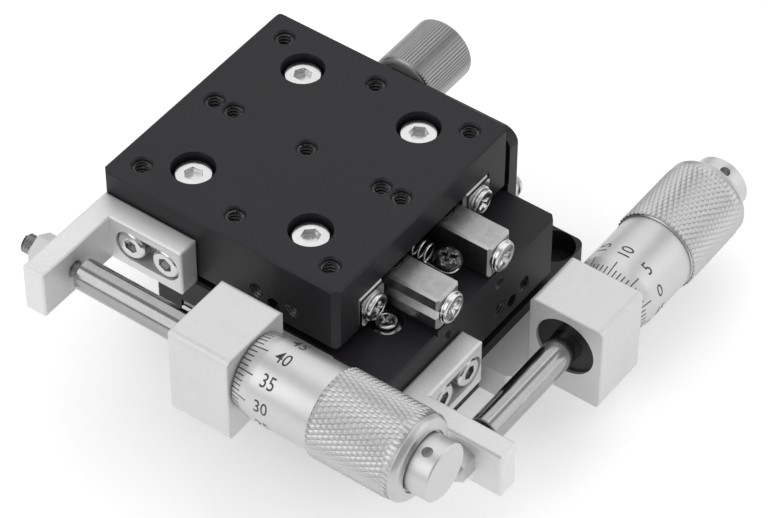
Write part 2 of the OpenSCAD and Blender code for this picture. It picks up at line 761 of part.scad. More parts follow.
// Turning parts of a micrometer head
module spindle() color(bright_steel) on_axis(tip_u) rotate_extrude() polygon([
    [0, 0], [spindle_r - tip_edge, 0], [spindle_r, tip_edge],
    [spindle_r, spindle_end - tip_u], [stub_r, spindle_end - tip_u],
    [stub_r, spindle_end + stub_l - tip_u], [0, spindle_end + stub_l - tip_u]
]);
module thimble() color(satin_chrome) on_axis(0) rotate_extrude() polygon([
    [thimble_bore_r, thimble_u0], [thimble_edge_r, thimble_u0],
    [thimble_r, thimble_u0 + thimble_bevel], [thimble_r, grip_u0 - run_c],
    [thimble_r - grip_step, grip_u0 - run_c], [thimble_r - grip_step, spindle_end],
    [spindle_r + fit_c, spindle_end], [spindle_r + fit_c, spindle_end - hub_t],
    [thimble_bore_r, spindle_end - hub_t]
]);
module grip() color(satin_chrome) on_axis(0) rotate_extrude() polygon([
    [thimble_r - grip_step + fit_c, grip_u0], [thimble_r, grip_u0],
    [grip_r, grip_u0 + grip_r - thimble_r], [grip_r, grip_u1 - grip_bevel],
    [grip_rim_r, grip_u1], [thimble_r - grip_step + fit_c, grip_u1]
]);
module end_cap() color(satin_chrome) difference() {
    on_axis(spindle_end + fit_c) rotate_extrude() polygon([
        [stub_r + fit_c, 0], [cap_r - face_c, 0], [cap_r, face_c],
        [cap_r, cap_l - face_c], [cap_r - face_c, cap_l], [0, cap_l],
        [0, stub_l + face_c], [stub_r + fit_c, stub_l + face_c]
    ]);
    on_axis(spindle_end + cap_l / 2) rotate([0, 0, spanner_angle]) translate([cap_r, 0, 0])
        face_u() drill(spanner_hole_r, spanner_hole_deep);
}

// Anvil bracket and its screws, in the frame of one unit
module bracket() color(clear_anodised) on_upper() difference() {
    union() {
        rounded_block([bracket_u, -half_w - bracket_plate_t, bracket_z],
            [bracket_u + bracket_l, -half_w, bracket_z + bracket_h], bracket_edge_r, bracket_edge_r);
        rounded_block([bracket_u, -half_w - bracket_arm_l, bracket_z],
            [bracket_u + bracket_arm_t, -half_w, bracket_z + bracket_h], bracket_edge_r,
            bracket_edge_r);
    }
    for (i = [0, 1])
        translate([bracket_screw_u - i * bracket_screw_pitch, -half_w, bracket_axis_z])
            face_minus_v() translate([0, 0, bracket_plate_t])
                drill(bracket_screw_r + fit_c, bracket_plate_t + cut);
    translate([bracket_screw_u - bracket_screw_pitch / 2, -half_w - bracket_plate_t, bracket_axis_z])
        face_minus_v() translate([0, 0, -bracket_head_h - head_sink])
            linear_extrude(height = bracket_head_h + head_sink + cut)
                slot_outline(bracket_screw_pitch / 2, bracket_head_r + 2 * head_c);
    translate([bracket_u - cut, -axis_v, bracket_axis_z]) face_u()
        cylinder(r = anvil_r, h = bracket_arm_t + 2 * cut);
}
module bracket_screws() color(bright_steel) on_upper() for (i = [0, 1])
    translate([bracket_screw_u - i * bracket_screw_pitch,
        -half_w - bracket_plate_t + bracket_head_h + head_sink, bracket_axis_z]) face_minus_v()
            socket_screw(bracket_screw_r - fit_c,
                bracket_plate_t - bracket_head_h - head_sink + side_tap_depth - cut,
                bracket_head_r, bracket_head_h, bracket_hex_r);
module anvil_screw() color(bright_steel) on_upper() difference() {
    translate([bracket_u - anvil_out, -axis_v, bracket_axis_z]) face_u() {
        cylinder(r = anvil_r - fit_c, h = anvil_out + bracket_arm_t);
        cylinder(r = anvil_point_r, h = anvil_out + bracket_arm_t + anvil_in);
    }
    translate([bracket_u - anvil_out - cut, -axis_v, bracket_axis_z]) face_u()
        cylinder(r = anvil_hex_r, h = anvil_hex_deep + cut, $fn = 6);
}
module anvil_nut() color(bright_steel) on_upper() difference() {
    translate([bracket_u - anvil_nut_t, -axis_v, bracket_axis_z]) face_u()
        cylinder(r = anvil_nut_af / sqrt(3), h = anvil_nut_t, $fn = 6);
    translate([bracket_u - anvil_nut_t - cut, -axis_v, bracket_axis_z]) face_u()
        cylinder(r = anvil_r, h = anvil_nut_t + 2 * cut);
}

// Lock plate, its screws and its knob, in the frame of one unit
module lock_plate() color(black_anodised) difference() {
    translate([0, half_w, 0]) face_plus_v() linear_extrude(height = lock_plate_t)
        scale([1, -1]) difference() {
            union() {
                translate([-lock_plate_w / 2, -lock_plate_drop])
                    square([lock_plate_w, lock_plate_top - lock_corner_r + lock_plate_drop]);
                translate([lock_corner_r - lock_plate_w / 2, -lock_plate_drop])
                    square([lock_plate_w - 2 * lock_corner_r, lock_plate_top + lock_plate_drop]);
                for (x = [-1, 1]) translate([
                    x * (lock_plate_w / 2 - lock_corner_r), lock_plate_top - lock_corner_r])
                        circle(lock_corner_r);
            }
            translate([0, lock_z]) slot_outline(lock_slot_half, lock_slot_r);
        }
    block_between([-lock_plate_w, half_w - cut, carriage_gap - face_c],
        [lock_plate_w, half_w + face_c, lock_plate_top + cut]);
    both_ends() translate([lock_screw_u, half_w + lock_plate_t, -lock_screw_drop]) face_plus_v()
        drill(small_r + fit_c, lock_plate_t + cut);
}
module lock_plate_screws() color(bright_steel) both_ends()
    translate([lock_screw_u, half_w + lock_plate_t, -lock_screw_drop]) face_plus_v()
        pan_screw(small_r - fit_c, lock_plate_t + lock_thread - cut / 2);
module lock_knob() color(satin_chrome)
    translate([-half_travel, half_w + lock_plate_t + face_c, lock_z])
        face_plus_v() rotate_extrude() polygon([
            [0, -lock_plate_t - face_c - stud_in], [stud_r - fit_c, -lock_plate_t - face_c - stud_in],
            [stud_r - fit_c, knob_dish], [knob_dish_r, knob_dish], [knob_dish_r + knob_dish, 0],
            [knob_r - knob_edge, 0], [knob_r, knob_edge], [knob_r, knob_l - knob_edge],
            [knob_r - knob_edge, knob_l], [0, knob_l]
        ]);

base_block();
cross_block();
table_block();

in_x_unit() inner_rails();  // x_inner_rails
in_x_unit() table_outer_rails();  // x_outer_rails
in_x_unit() roller_cages();  // x_roller_cages
in_x_unit() rollers();  // x_rollers
in_x_unit() inner_rail_screws();  // x_inner_rail_screws
in_x_unit() table_rail_screws();  // x_outer_rail_screws
in_x_unit() rail_end_screws();  // x_rail_end_screws
in_x_unit() rail_end_plates();  // x_rail_end_plates
in_x_unit() plate_screws();  // x_plate_screws
in_x_unit() preload_screws();  // x_preload_screws
in_x_unit() return_spring();  // x_return_spring
in_x_unit() lower_spring_post();  // x_lower_spring_post
in_x_unit() upper_spring_post();  // x_upper_spring_post
in_x_unit() holder(0);  // x_holder
in_x_unit() holder_screws(0);  // x_holder_screws
in_x_unit() sleeve();  // x_sleeve
in_x_unit() front_bush();  // x_front_bush
in_x_unit() spindle();  // x_spindle
in_x_unit() thimble();  // x_thimble
in_x_unit() grip();  // x_grip
in_x_unit() end_cap();  // x_end_cap
in_x_unit() bracket();  // x_bracket
in_x_unit() bracket_screws();  // x_bracket_screws
in_x_unit() anvil_screw();  // x_anvil_screw
in_x_unit() anvil_nut();  // x_anvil_nut
in_x_unit() lock_plate();  // x_lock_plate
in_x_unit() lock_plate_screws();  // x_lock_plate_screws
in_x_unit() lock_knob();  // x_lock_knob

in_y_unit() inner_rails();  // y_inner_rails
in_y_unit() cross_outer_rails();  // y_outer_rails
in_y_unit() roller_cages();  // y_roller_cages
in_y_unit() rollers();  // y_rollers
in_y_unit() inner_rail_screws();  // y_inner_rail_screws
in_y_unit() cross_rail_screws();  // y_outer_rail_screws
in_y_unit() rail_end_screws();  // y_rail_end_screws
in_y_unit() rail_end_plates();  // y_rail_end_plates
in_y_unit() plate_screws();  // y_plate_screws
in_y_unit() preload_screws();  // y_preload_screws
in_y_unit() return_spring();  // y_return_spring
in_y_unit() lower_spring_post();  // y_lower_spring_post
in_y_unit() upper_spring_post();  // y_upper_spring_post
in_y_head() holder(base_foot_drop);  // y_holder
in_y_head() holder_screws(base_foot_drop);  // y_holder_screws
in_y_head() sleeve();  // y_sleeve
in_y_head() front_bush();  // y_front_bush
in_y_head() spindle();  // y_spindle
in_y_head() thimble();  // y_thimble
in_y_head() grip();  // y_grip
in_y_head() end_cap();  // y_end_cap
in_y_head() bracket();  // y_bracket
in_y_head() bracket_screws();  // y_bracket_screws
in_y_head() anvil_screw();  // y_anvil_screw
in_y_head() anvil_nut();  // y_anvil_nut
in_y_unit() lock_plate();  // y_lock_plate
in_y_unit() lock_plate_screws();  // y_lock_plate_screws
in_y_unit() lock_knob();  // y_lock_knob
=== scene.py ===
import math
from contextlib import contextmanager

import bmesh
import bpy
from mathutils import Matrix, Vector


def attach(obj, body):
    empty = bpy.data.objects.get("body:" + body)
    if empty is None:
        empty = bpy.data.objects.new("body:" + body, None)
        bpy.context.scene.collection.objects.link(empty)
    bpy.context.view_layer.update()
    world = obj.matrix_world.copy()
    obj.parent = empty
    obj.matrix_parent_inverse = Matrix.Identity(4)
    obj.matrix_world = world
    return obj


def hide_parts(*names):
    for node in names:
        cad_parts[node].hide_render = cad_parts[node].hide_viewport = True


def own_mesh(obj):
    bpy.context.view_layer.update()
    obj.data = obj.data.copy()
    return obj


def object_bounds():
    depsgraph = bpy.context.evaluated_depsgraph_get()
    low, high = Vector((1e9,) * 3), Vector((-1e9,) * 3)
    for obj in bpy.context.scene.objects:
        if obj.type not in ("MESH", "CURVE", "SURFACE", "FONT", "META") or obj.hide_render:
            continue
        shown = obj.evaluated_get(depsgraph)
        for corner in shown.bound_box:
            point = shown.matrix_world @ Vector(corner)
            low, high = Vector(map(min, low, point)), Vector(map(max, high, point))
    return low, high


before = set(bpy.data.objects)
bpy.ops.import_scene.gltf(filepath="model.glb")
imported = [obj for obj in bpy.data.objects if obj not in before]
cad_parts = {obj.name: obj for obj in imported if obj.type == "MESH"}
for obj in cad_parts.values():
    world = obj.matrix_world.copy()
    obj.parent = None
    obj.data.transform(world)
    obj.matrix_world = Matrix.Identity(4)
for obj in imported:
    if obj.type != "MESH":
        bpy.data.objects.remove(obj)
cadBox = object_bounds()
print("frame loaded:", len(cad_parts), "nodes")


def shifted(u, v, z):
    return Matrix.Translation((u, v, z))


def rotated(degrees, axis):
    return Matrix.Rotation(math.radians(degrees), 4, axis)


# Places are worked out in millimetres, in the frame of one slide unit: u along the slide,
# v across it, z up. The x unit sits on the cross block and the y unit on the base. At rest a
# carriage is half its travel off the middle.
millimetre = 0.001
toMetres = Matrix.Scale(millimetre, 4)
fullTurn = 2 * math.pi
travel = 25
layout = {
    "restShift": -travel / 2, "carriageGap": 2, "unitHeight": {"x": 29.5, "y": 11},
    "headShift": {"x": 0, "y": 1}, "headAxis": (0, -46.8, 7.15), "lockAxis": (33.5, 10.5),
}
unitFrame = {
    "x": shifted(0, layout["restShift"], layout["unitHeight"]["x"]),
    "y": shifted(0, 0, layout["unitHeight"]["y"]) @ rotated(90, "Z"),
}
upperFrame = {
    k: unitFrame[k] @ shifted(layout["restShift"], 0, layout["carriageGap"]) for k in "xy"}
headFrame = {k: unitFrame[k] @ shifted(layout["headShift"][k], 0, 0) for k in "xy"}
axisFrame = {k: headFrame[k] @ shifted(*layout["headAxis"]) @ rotated(90, "Y") for k in "xy"}
lowerBody = {"x": "cross", "y": "base"}
upperBody = {"x": "table", "y": "cross"}
seats = {
    "lower": (unitFrame, lowerBody), "upper": (upperFrame, upperBody),
    "head": (headFrame, lowerBody),
}


class Term:
    # A socket in a tree: an expression on it adds its Math nodes.
    def __init__(self, sheet, socket):
        self.sheet = sheet
        self.socket = socket

    def __add__(self, other):
        return self.sheet.maths("ADD", self, other)

    def __radd__(self, other):
        return self.sheet.maths("ADD", other, self)

    def __sub__(self, other):
        return self.sheet.maths("SUBTRACT", self, other)

    def __rsub__(self, other):
        return self.sheet.maths("SUBTRACT", other, self)

    def __mul__(self, other):
        return self.sheet.maths("MULTIPLY", self, other)

    def __rmul__(self, other):
        return self.sheet.maths("MULTIPLY", other, self)

    def __truediv__(self, other):
        return self.sheet.maths("DIVIDE", self, other)

    def __rtruediv__(self, other):
        return self.sheet.maths("DIVIDE", other, self)

    def swing(self, amount):
        # a noise as a change to both sides of its middle
        return (self - 0.5) * amount


class Sheet:
    # A shader or geometry tree that grows by one call for each node.
    def __init__(self, tree):
        self.tree = tree

    def find(self, sockets, key):
        live = [s for s in sockets if s.enabled]
        return live[key] if isinstance(key, int) else next(s for s in live if s.name == key)

    def node(self, kind, settings=None, values=None, output=0):
        made = self.tree.nodes.new(kind)
        for key, setting in (settings or {}).items():
            if key == "choices":
                while len(made.index_switch_items) < setting:
                    made.index_switch_items.new()
            else:
                setattr(made, key, setting)
        for key, value in (values or {}).items():
            socket = self.find(made.inputs, key)
            # a list holds all that goes into one socket
            for single in value if isinstance(value, list) else [value]:
                if isinstance(single, Term):
                    self.tree.links.new(single.socket, socket)
                else:
                    socket.default_value = single
        return Term(self, self.find(made.outputs, output)) if len(made.outputs) else made

    def maths(self, operation, *terms):
        return self.node("ShaderNodeMath", {"operation": operation}, dict(enumerate(terms)))

    def noise(self, vector, scale, detail=2.0, rough=0.5, warp=0.0):
        return self.node("ShaderNodeTexNoise", {"noise_dimensions": "3D"}, {
            "Vector": vector, "Scale": scale, "Detail": detail, "Roughness": rough,
            "Distortion": warp})

    def stretch(self, vector, by):
        return self.node("ShaderNodeVectorMath", {"operation": "MULTIPLY"}, {0: vector, 1: by})

    def ramp(self, value, low, high, bottom=0.0, top=1.0):
        return self.node("ShaderNodeMapRange", {"clamp": True}, {
            "Value": value, "From Min": low, "From Max": high, "To Min": bottom, "To Max": top})

    def blend(self, share, first, second):
        return self.node("ShaderNodeMix", {"data_type": "RGBA"}, {
            "Factor": share, "A": first, "B": second})

    def vector(self, x=0.0, y=0.0, z=0.0):
        return self.node("ShaderNodeCombineXYZ", {}, {0: x, 1: y, 2: z})

    def polar(self, radius, angle, z):
        return self.vector(
            radius * self.maths("COSINE", angle), radius * self.maths("SINE", angle), z)

    def rotation(self, x=0.0, y=0.0, z=0.0):
        return self.node("FunctionNodeEulerToRotation", {}, {0: self.vector(x, y, z)})

    def points(self, count):
        # points in one place, and the number of each
        line = self.node("GeometryNodeMeshLine", {"mode": "OFFSET"}, {
            "Count": count, "Offset": (0.0, 0.0, 0.0)})
        return line, self.node("GeometryNodeInputIndex")

    def grid(self, around, rows):
        # a sheet to be bent round an axis, and the column and row of each point
        mesh = self.node("GeometryNodeMeshGrid", {}, {
            "Size X": 1.0, "Size Y": 1.0, "Vertices X": around + 1, "Vertices Y": rows}, "Mesh")
        index = self.node("GeometryNodeInputIndex")
        column = self.maths("FLOOR", (index + 0.5) / rows)
        return mesh, column, index - column * rows

    def choose(self, index, options):
        return self.node("GeometryNodeIndexSwitch", {"data_type": "FLOAT", "choices": len(options)},
                         dict(enumerate([index, *options])))

    def bar(self, x, y, z):
        return self.node("GeometryNodeMeshCube", {}, {"Size": self.vector(x, y, z)}, "Mesh")

    def put(self, geometry, spots):
        return self.node("GeometryNodeSetPosition", {}, {"Geometry": geometry, "Position": spots})

    def moved(self, geometry, **values):
        return self.node("GeometryNodeTransform", {}, {"Geometry": geometry, **values})

    def copies(self, points, shape, turn, **values):
        return self.node("GeometryNodeInstanceOnPoints", {}, {
            "Points": points, "Instance": shape, "Rotation": turn, **values})

    def join(self, parts):
        return self.node("GeometryNodeJoinGeometry", {}, {"Geometry": parts})


def grey(value, tint=(1.0, 1.0, 1.0)):
    return (value * tint[0], value * tint[1], value * tint[2], 1.0)


def newFinish(name):
    finish = bpy.data.materials.new(name)
    finish.use_nodes = True
    finish.node_tree.nodes.clear()
    sheet = Sheet(finish.node_tree)
    place = sheet.node("ShaderNodeTexCoord", {}, {}, "Object")
    place = sheet.node("ShaderNodeVectorMath", {"operation": "SCALE"}, {
        0: place, "Scale": 1 / millimetre})
    return finish, sheet, place


def settle(sheet, look, colour, roughness, height):
    bump = sheet.node("ShaderNodeBump", {}, {
        "Strength": look["bump"], "Distance": look["depth"] * millimetre, "Height": height})
    shader = sheet.node("ShaderNodeBsdfPrincipled", {}, {
        "Base Color": colour, "Roughness": roughness, "Metallic": look["metallic"],
        "Specular IOR Level": look["gloss"], "Normal": bump})
    sheet.node("ShaderNodeOutputMaterial", {}, {"Surface": shader})


def scratches(sheet, place, look):
    # thin lines: a noise that is drawn out along one direction, cut at its peaks
    thin, long = 0.05 / look["lineWidth"], 0.05 / look["lineLength"]
    place = sheet.node("ShaderNodeMapping", {}, {"Vector": place, "Rotation": look["lineTurn"]})
    lines = sheet.noise(sheet.stretch(place, (thin, thin, long)), 1.0, detail=1.0, rough=0.4)
    return sheet.ramp(lines, 0.5 + look["lineCut"], 0.56 + look["lineCut"])


# what all finishes of one kind share; scales of noise are per millimetre
anodisedSkin = {
    "gloss": 0.5, "depth": 0.01, "cloudScale": 0.11, "fineScale": 1.3, "rubbed": (0.45, 0.7),
    "blastRough": 0.12, "cloudRough": 0.1, "rubRough": 0.08, "rubHeight": -0.3,
    "lineTurn": (0.4, 0.9, 0.3), "lineWidth": 0.02, "lineLength": 0.6, "lineCut": 0.16}
steelSkin = {
    "metallic": 1.0, "gloss": 0.5, "depth": 0.006, "patch": 0.25, "grain": 9.0, "rub": 0.25,
    "marksRough": 0.16, "cloudRough": 0.14, "grainRough": 0.04, "grainHeight": 0.3,
    # the end colour is painted shade for a spindle's end face
    "rubHeight": 0.6, "endFade": 0.12, "endShadeColour": grey(0.09), "endRough": 0.25,
    "lineTurn": (1.1, 0.2, 0.5), "lineWidth": 0.015, "lineLength": 0.8, "lineCut": 0.17}
blackenedSkin = {
    "gloss": 0.5, "depth": 0.008, "cloudScale": 0.7, "grain": 11.0, "glintAndWearScale": 2.3,
    "glintAndWear": (0.57, 0.7), "cloud": 0.15, "cloudRough": 0.2, "grainRough": 0.1}


def anodisedFinish(name, look):
    finish, sheet, place = newFinish(name)
    look = anodisedSkin | look
    blast = sheet.noise(place, look["grain"], detail=3.0, rough=0.65)
    cloud = sheet.noise(place, look["cloudScale"], detail=3.0, rough=0.55, warp=0.4)
    fine = sheet.noise(place, look["fineScale"])
    rub = scratches(sheet, place, look) * sheet.ramp(cloud, *look["rubbed"])
    mixed = cloud.swing(look["cloud"]) + fine.swing(look["mottle"]) + 0.5 + rub * look["scratch"]
    colour = sheet.blend(mixed, look["dark"], look["light"])
    roughness = look["rough"] + blast.swing(look["blastRough"]) + cloud.swing(look["cloudRough"])
    roughness = roughness - rub * look["rubRough"]
    settle(sheet, look, colour, roughness, blast + rub * look["rubHeight"])
    return finish


def steelFinish(name, look):
    # turned or ground steel: fine marks run along one direction of the piece; on the spindles the
    # long streaks along the axis are partly painted reflection bands
    finish, sheet, place = newFinish(name)
    look = steelSkin | look
    marks = sheet.noise(sheet.stretch(place, look["marks"]), 1.0, detail=3.0, rough=0.6)
    cloud = sheet.noise(place, look["patch"], detail=3.0, rough=0.6, warp=0.6)
    grain = sheet.noise(place, look["grain"])
    rub = scratches(sheet, place, look)
    mixed = 0.5 + marks.swing(look["streak"]) + cloud.swing(look["cloud"]) + rub * look["rub"]
    colour = sheet.blend(mixed, look["dark"], look["light"])
    roughness = look["rough"]
    if "shadedEndAt" in look:
        # painted shade: the end face, in the gap at the anvil, is darkened; it is also rougher
        axis, level = look["shadedEndAt"]
        along = sheet.node("ShaderNodeSeparateXYZ", {}, {0: place}, axis)
        end = sheet.ramp(along, level, level + look["endFade"], 1.0, 0.0)
        colour = sheet.blend(end, colour, look["endShadeColour"])
        roughness = roughness + end * look["endRough"]
    roughness = roughness + marks.swing(look["marksRough"]) + cloud.swing(look["cloudRough"])
    roughness = roughness + grain.swing(look["grainRough"])
    height = marks + grain * look["grainHeight"] - rub * look["rubHeight"]
    settle(sheet, look, colour, roughness, height)
    return finish


def blackenedFinish(name, look):
    # a black skin with lighter spots: wear, and on the glossy black oxide heads painted glints
    # (highlights)
    finish, sheet, place = newFinish(name)
    look = blackenedSkin | look
    cloud = sheet.noise(place, look["cloudScale"], detail=3.0, rough=0.6)
    grain = sheet.noise(place, look["grain"])
    glintAndWear = sheet.noise(place, look["glintAndWearScale"], detail=3.0, rough=0.7)
    glintAndWear = sheet.ramp(glintAndWear, *look["glintAndWear"]) * look["glintAndWearAmount"]
    colour = sheet.blend(glintAndWear + cloud * look["cloud"], look["dark"], look["light"])
    roughness = look["rough"] + cloud.swing(look["cloudRough"]) + grain.swing(look["grainRough"])
    settle(sheet, look, colour, roughness, grain + cloud)
    return finish


def marksAlong(axis, along, across):
    return tuple(along if a == axis else across for a in "XYZ")


blackTint = (1.03, 0.9, 1.08)
anodisedLooks = {
    "blackAnodised": {
        "dark": grey(0.009, blackTint), "light": grey(0.021, blackTint), "metallic": 0.0,
        "gloss": 0.24, "rough": 0.42, "grain": 7.0, "cloud": 0.5, "mottle": 0.35, "scratch": 0.5,
        "bump": 0.35},
    "clearAnodised": {
        "dark": grey(0.60), "light": grey(0.74), "metallic": 0.5, "rough": 0.5, "grain": 8.0,
        "cloud": 0.5, "mottle": 0.5, "scratch": 0.4, "bump": 0.5},
    # painted light: a lighter copy of the clear anodised finish, for the brackets in the table's
    # shade and the lock knobs' near faces
    "bracketAnodised": {
        "dark": grey(0.66), "light": grey(0.82), "metallic": 0.5, "rough": 0.46, "grain": 8.0,
        "cloud": 0.7, "mottle": 0.5, "scratch": 0.8, "bump": 0.5},
}
railLook = {"dark": grey(0.26), "light": grey(0.46), "streak": 0.12, "cloud": 1.2, "patch": 0.4,
            "rough": 0.34, "bump": 0.07}
# partly painted reflection: the spindle's long streaks along its axis stand for reflection bands as
# well as marks
spindleLook = {"dark": grey(0.22), "light": grey(0.44), "streak": 0.5, "cloud": 0.4,
               "rough": 0.15, "bump": 0.04}
lockLook = {"dark": grey(0.26), "light": grey(0.40), "streak": 0.6, "cloud": 0.4,
            "rough": 0.32, "bump": 0.15}
steelLooks = {
    "railSteelX": railLook | {"marks": marksAlong("X", 0.12, 7.0)},
    "railSteelY": railLook | {"marks": marksAlong("Y", 0.12, 7.0)},
    # each spindle's end face gets painted shade
    "spindleSteelX": spindleLook | {"marks": marksAlong("X", 0.05, 1.3), "shadedEndAt": ("X", -33.76)},
    "spindleSteelY": spindleLook | {"marks": marksAlong("Y", 0.05, 1.3), "shadedEndAt": ("Y", -32.76)},
    "satinChrome": {"dark": grey(0.51), "light": grey(0.66), "marks": (5.0, 5.0, 5.0),
                    "streak": 0.4, "cloud": 0.5, "rough": 0.42, "bump": 0.2},
    "knurledChrome": {"dark": grey(0.45), "light": grey(0.60), "marks": (6.0, 6.0, 6.0),
                      "streak": 0.5, "cloud": 0.5, "rough": 0.36, "bump": 0.25},
    "studSteel": {"dark": grey(0.16), "light": grey(0.42), "marks": (5.0, 5.0, 5.0),
                  "streak": 0.8, "cloud": 0.8, "rough": 0.28, "bump": 0.3},
    "lockSteel": lockLook | {"marks": marksAlong("Y", 0.4, 4.0)},
    "lockSteelY": lockLook | {"marks": marksAlong("X", 0.4, 4.0)},
    "nickelPlate": {"dark": grey(0.48), "light": grey(0.78), "marks": (4.0, 4.0, 4.0),
                    "streak": 0.5, "cloud": 0.6, "rough": 0.2, "bump": 0.25},
    "springWire": {"dark": grey(0.42), "light": grey(0.7), "marks": (3.0, 3.0, 3.0),
                   "streak": 0.5, "cloud": 0.6, "rough": 0.2, "bump": 0.2},
    "cageStrip": {"dark": grey(0.36), "light": grey(0.55), "marks": (0.3, 5.0, 5.0),
                  "streak": 0.6, "cloud": 0.6, "rough": 0.36, "bump": 0.3},
    "rollerSteel": {"dark": grey(0.5), "light": grey(0.72), "marks": (4.0, 4.0, 4.0),
                    "streak": 0.4, "cloud": 0.4, "rough": 0.15, "bump": 0.12},
}
blackLooks = {
    # painted glints: the light spots give these black heads their white highlights
    "blackOxide": {"dark": grey(0.008), "light": grey(0.5), "metallic": 0.8, "rough": 0.16,
                   "gloss": 1.0, "glintAndWearAmount": 0.9, "bump": 0.6},
    "threadBlack": {"dark": grey(0.015), "light": grey(0.32), "metallic": 0.6, "rough": 0.3,
                    "gloss": 0.8, "glintAndWearAmount": 0.6, "bump": 0.2},
    "bushBlack": {"dark": grey(0.004), "light": grey(0.02), "metallic": 0.0, "rough": 0.4,
                  "gloss": 0.35, "glintAndWearAmount": 0.4, "bump": 0.2},
    "scaleInk": {"dark": grey(0.025), "light": grey(0.09), "metallic": 0.0, "rough": 0.5,
                 "glintAndWearAmount": 0.6, "bump": 0.2},
}
finishes = {
    name: make(name, look)
    for make, looks in ((anodisedFinish, anodisedLooks), (steelFinish, steelLooks),
                        (blackenedFinish, blackLooks))
    for name, look in looks.items()
}
print("finishes made:", len(finishes))

# what stays from the frame: the endings of the node names for each finish
kept = {
    "blackAnodised": ("block", "lock_plate"),
    "clearAnodised": "holder",
    # the brackets take the lighter copy, which is painted light
    "bracketAnodised": "bracket",
    "satinChrome": ("sleeve", "end_cap", "anvil_nut"),
    "studSteel": "anvil_screw",
    "bushBlack": "front_bush",
    "cageStrip": "roller_cages",
    "rollerSteel": "rollers",
    "nickelPlate": "rail_end_plates",
    "blackOxide": "preload_screws",
    "railSteelX": ("x_inner_rails", "x_outer_rails"),
    "railSteelY": ("y_inner_rails", "y_outer_rails"),
    "spindleSteelX": "x_spindle",
    "spindleSteelY": "y_spindle",
}
for name, endings in kept.items():
    for nodeName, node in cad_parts.items():
        if nodeName.endswith(endings):
            for place in node.material_slots:
                place.material = finishes[name]
print("frame nodes finished")


@contextmanager
def opened(mesh):
    work = bmesh.new()
    work.from_mesh(mesh)
    yield work
    work.to_mesh(mesh)
    work.free()


def outwards(mesh):
    with opened(mesh) as work:
        bmesh.ops.remove_doubles(work, verts=work.verts, dist=1e-4)
        flat = [f for f in work.faces if f.calc_area() < 1e-9]
        bmesh.ops.delete(work, geom=flat, context="FACES_ONLY")
        bmesh.ops.recalc_face_normals(work, faces=work.faces)


def addPiece(name, mesh, place, body, finish=None, stands=(), smooth=35):
    # the mesh comes in millimetres and goes to its place in metres
    outwards(mesh)
    mesh.transform(toMetres @ place)
    if finish is not None:
        mesh.materials.clear()
        mesh.materials.append(finishes[finish])
    for face in mesh.polygons:
        face.use_smooth = True
    mesh.set_sharp_from_angle(angle=math.radians(smooth))
    piece = bpy.data.objects.new(name, mesh)
    piece.data.name = name
    bpy.context.scene.collection.objects.link(piece)
    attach(piece, body)
    if stands:
        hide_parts(*stands)
    return piece


def newTree(name, sizes):
    tree = bpy.data.node_groups.new(name, "GeometryNodeTree")
    tree.interface.new_socket("Geometry", in_out="INPUT", socket_type="NodeSocketGeometry")
    for label, value in sizes.items():
        kind = "NodeSocketInt" if isinstance(value, int) else "NodeSocketFloat"
        made = tree.interface.new_socket(label, in_out="INPUT", socket_type=kind)
        made.default_value = value
    tree.interface.new_socket("Finish", in_out="INPUT", socket_type="NodeSocketMaterial")
    tree.interface.new_socket("Geometry", in_out="OUTPUT", socket_type="NodeSocketGeometry")
    sheet = Sheet(tree)
    entry = tree.nodes.new("NodeGroupInput")
    given = {s.name: Term(sheet, s) for s in entry.outputs if s.name}
    return sheet, given


def closeTree(sheet, given, shape):
    shape = sheet.node("GeometryNodeRealizeInstances", {}, {"Geometry": shape})
    shape = sheet.node("GeometryNodeSetMaterial", {}, {
        "Geometry": shape, "Material": given["Finish"]})
    sheet.node("NodeGroupOutput", {}, {"Geometry": shape})
    return sheet.tree


def baked(holder):
    bpy.context.scene.collection.objects.link(holder)
    graph = bpy.context.evaluated_depsgraph_get()
    graph.update()
    return bpy.data.meshes.new_from_object(holder.evaluated_get(graph), depsgraph=graph)


def grow(tree, sizes, finish, points=((0, 0, 0),), facing=None, spin=(0.0, 0.0), edges=()):
    # runs a tree on carrier points and gives back the plain mesh; spin is the first angle and
    # the step from one point to the next
    carrier = bpy.data.meshes.new("carrier")
    carrier.from_pydata([tuple(p) for p in points], list(edges), [])
    if facing:
        facings = facing if isinstance(facing, list) else [facing] * len(points)
        layer = carrier.attributes.new("facing", "FLOAT_VECTOR", "POINT")
        layer.data.foreach_set("vector", [c for f in facings for c in f])
        layer = carrier.attributes.new("spin", "FLOAT", "POINT")
        layer.data.foreach_set("value", [spin[0] + spin[1] * i for i in range(len(points))])
    holder = bpy.data.objects.new("carrier", carrier)
    modifier = holder.modifiers.new("grow", "NODES")
    modifier.node_group = tree
    for item in tree.interface.items_tree:
        if item.in_out == "INPUT" and item.name in sizes:
            modifier[item.identifier] = sizes[item.name]
        if item.in_out == "INPUT" and item.name == "Finish":
            modifier[item.identifier] = finishes[finish]
    mesh = baked(holder)
    holder.modifiers.remove(modifier)
    bpy.data.objects.remove(holder)
    return mesh


def turnedShape(sheet, around, rings, armShare=0.3):
    # a grid bent round the z axis: one row of points for each ring (radius, height, outline)
    grid, column, row = sheet.grid(around, len(rings))
    angle = column * (fullTurn / around)
    sixth = sheet.maths("FLOORED_MODULO", angle, math.pi / 3) - math.pi / 6
    quarter = sheet.maths("FLOORED_MODULO", angle + math.pi / 4, math.pi / 2) - math.pi / 4
    arm = 1 / sheet.maths("COSINE", quarter)
    side = sheet.maths("ABSOLUTE", sheet.maths("SINE", quarter))
    flank = armShare / sheet.maths("MAXIMUM", side, 0.001)
    outlines = {
        "hex": 1 / sheet.maths("COSINE", sixth), "cross": sheet.maths("MINIMUM", arm, flank)}
    radii = [ring[0] * outlines[ring[2]] if len(ring) > 2 else ring[0] for ring in rings]
    heights = [ring[1] for ring in rings]
    spot = sheet.polar(sheet.choose(row, radii), angle, sheet.choose(row, heights))
    return sheet.node("GeometryNodeMergeByDistance", {}, {
        "Geometry": sheet.put(grid, spot), "Distance": 0.0005})


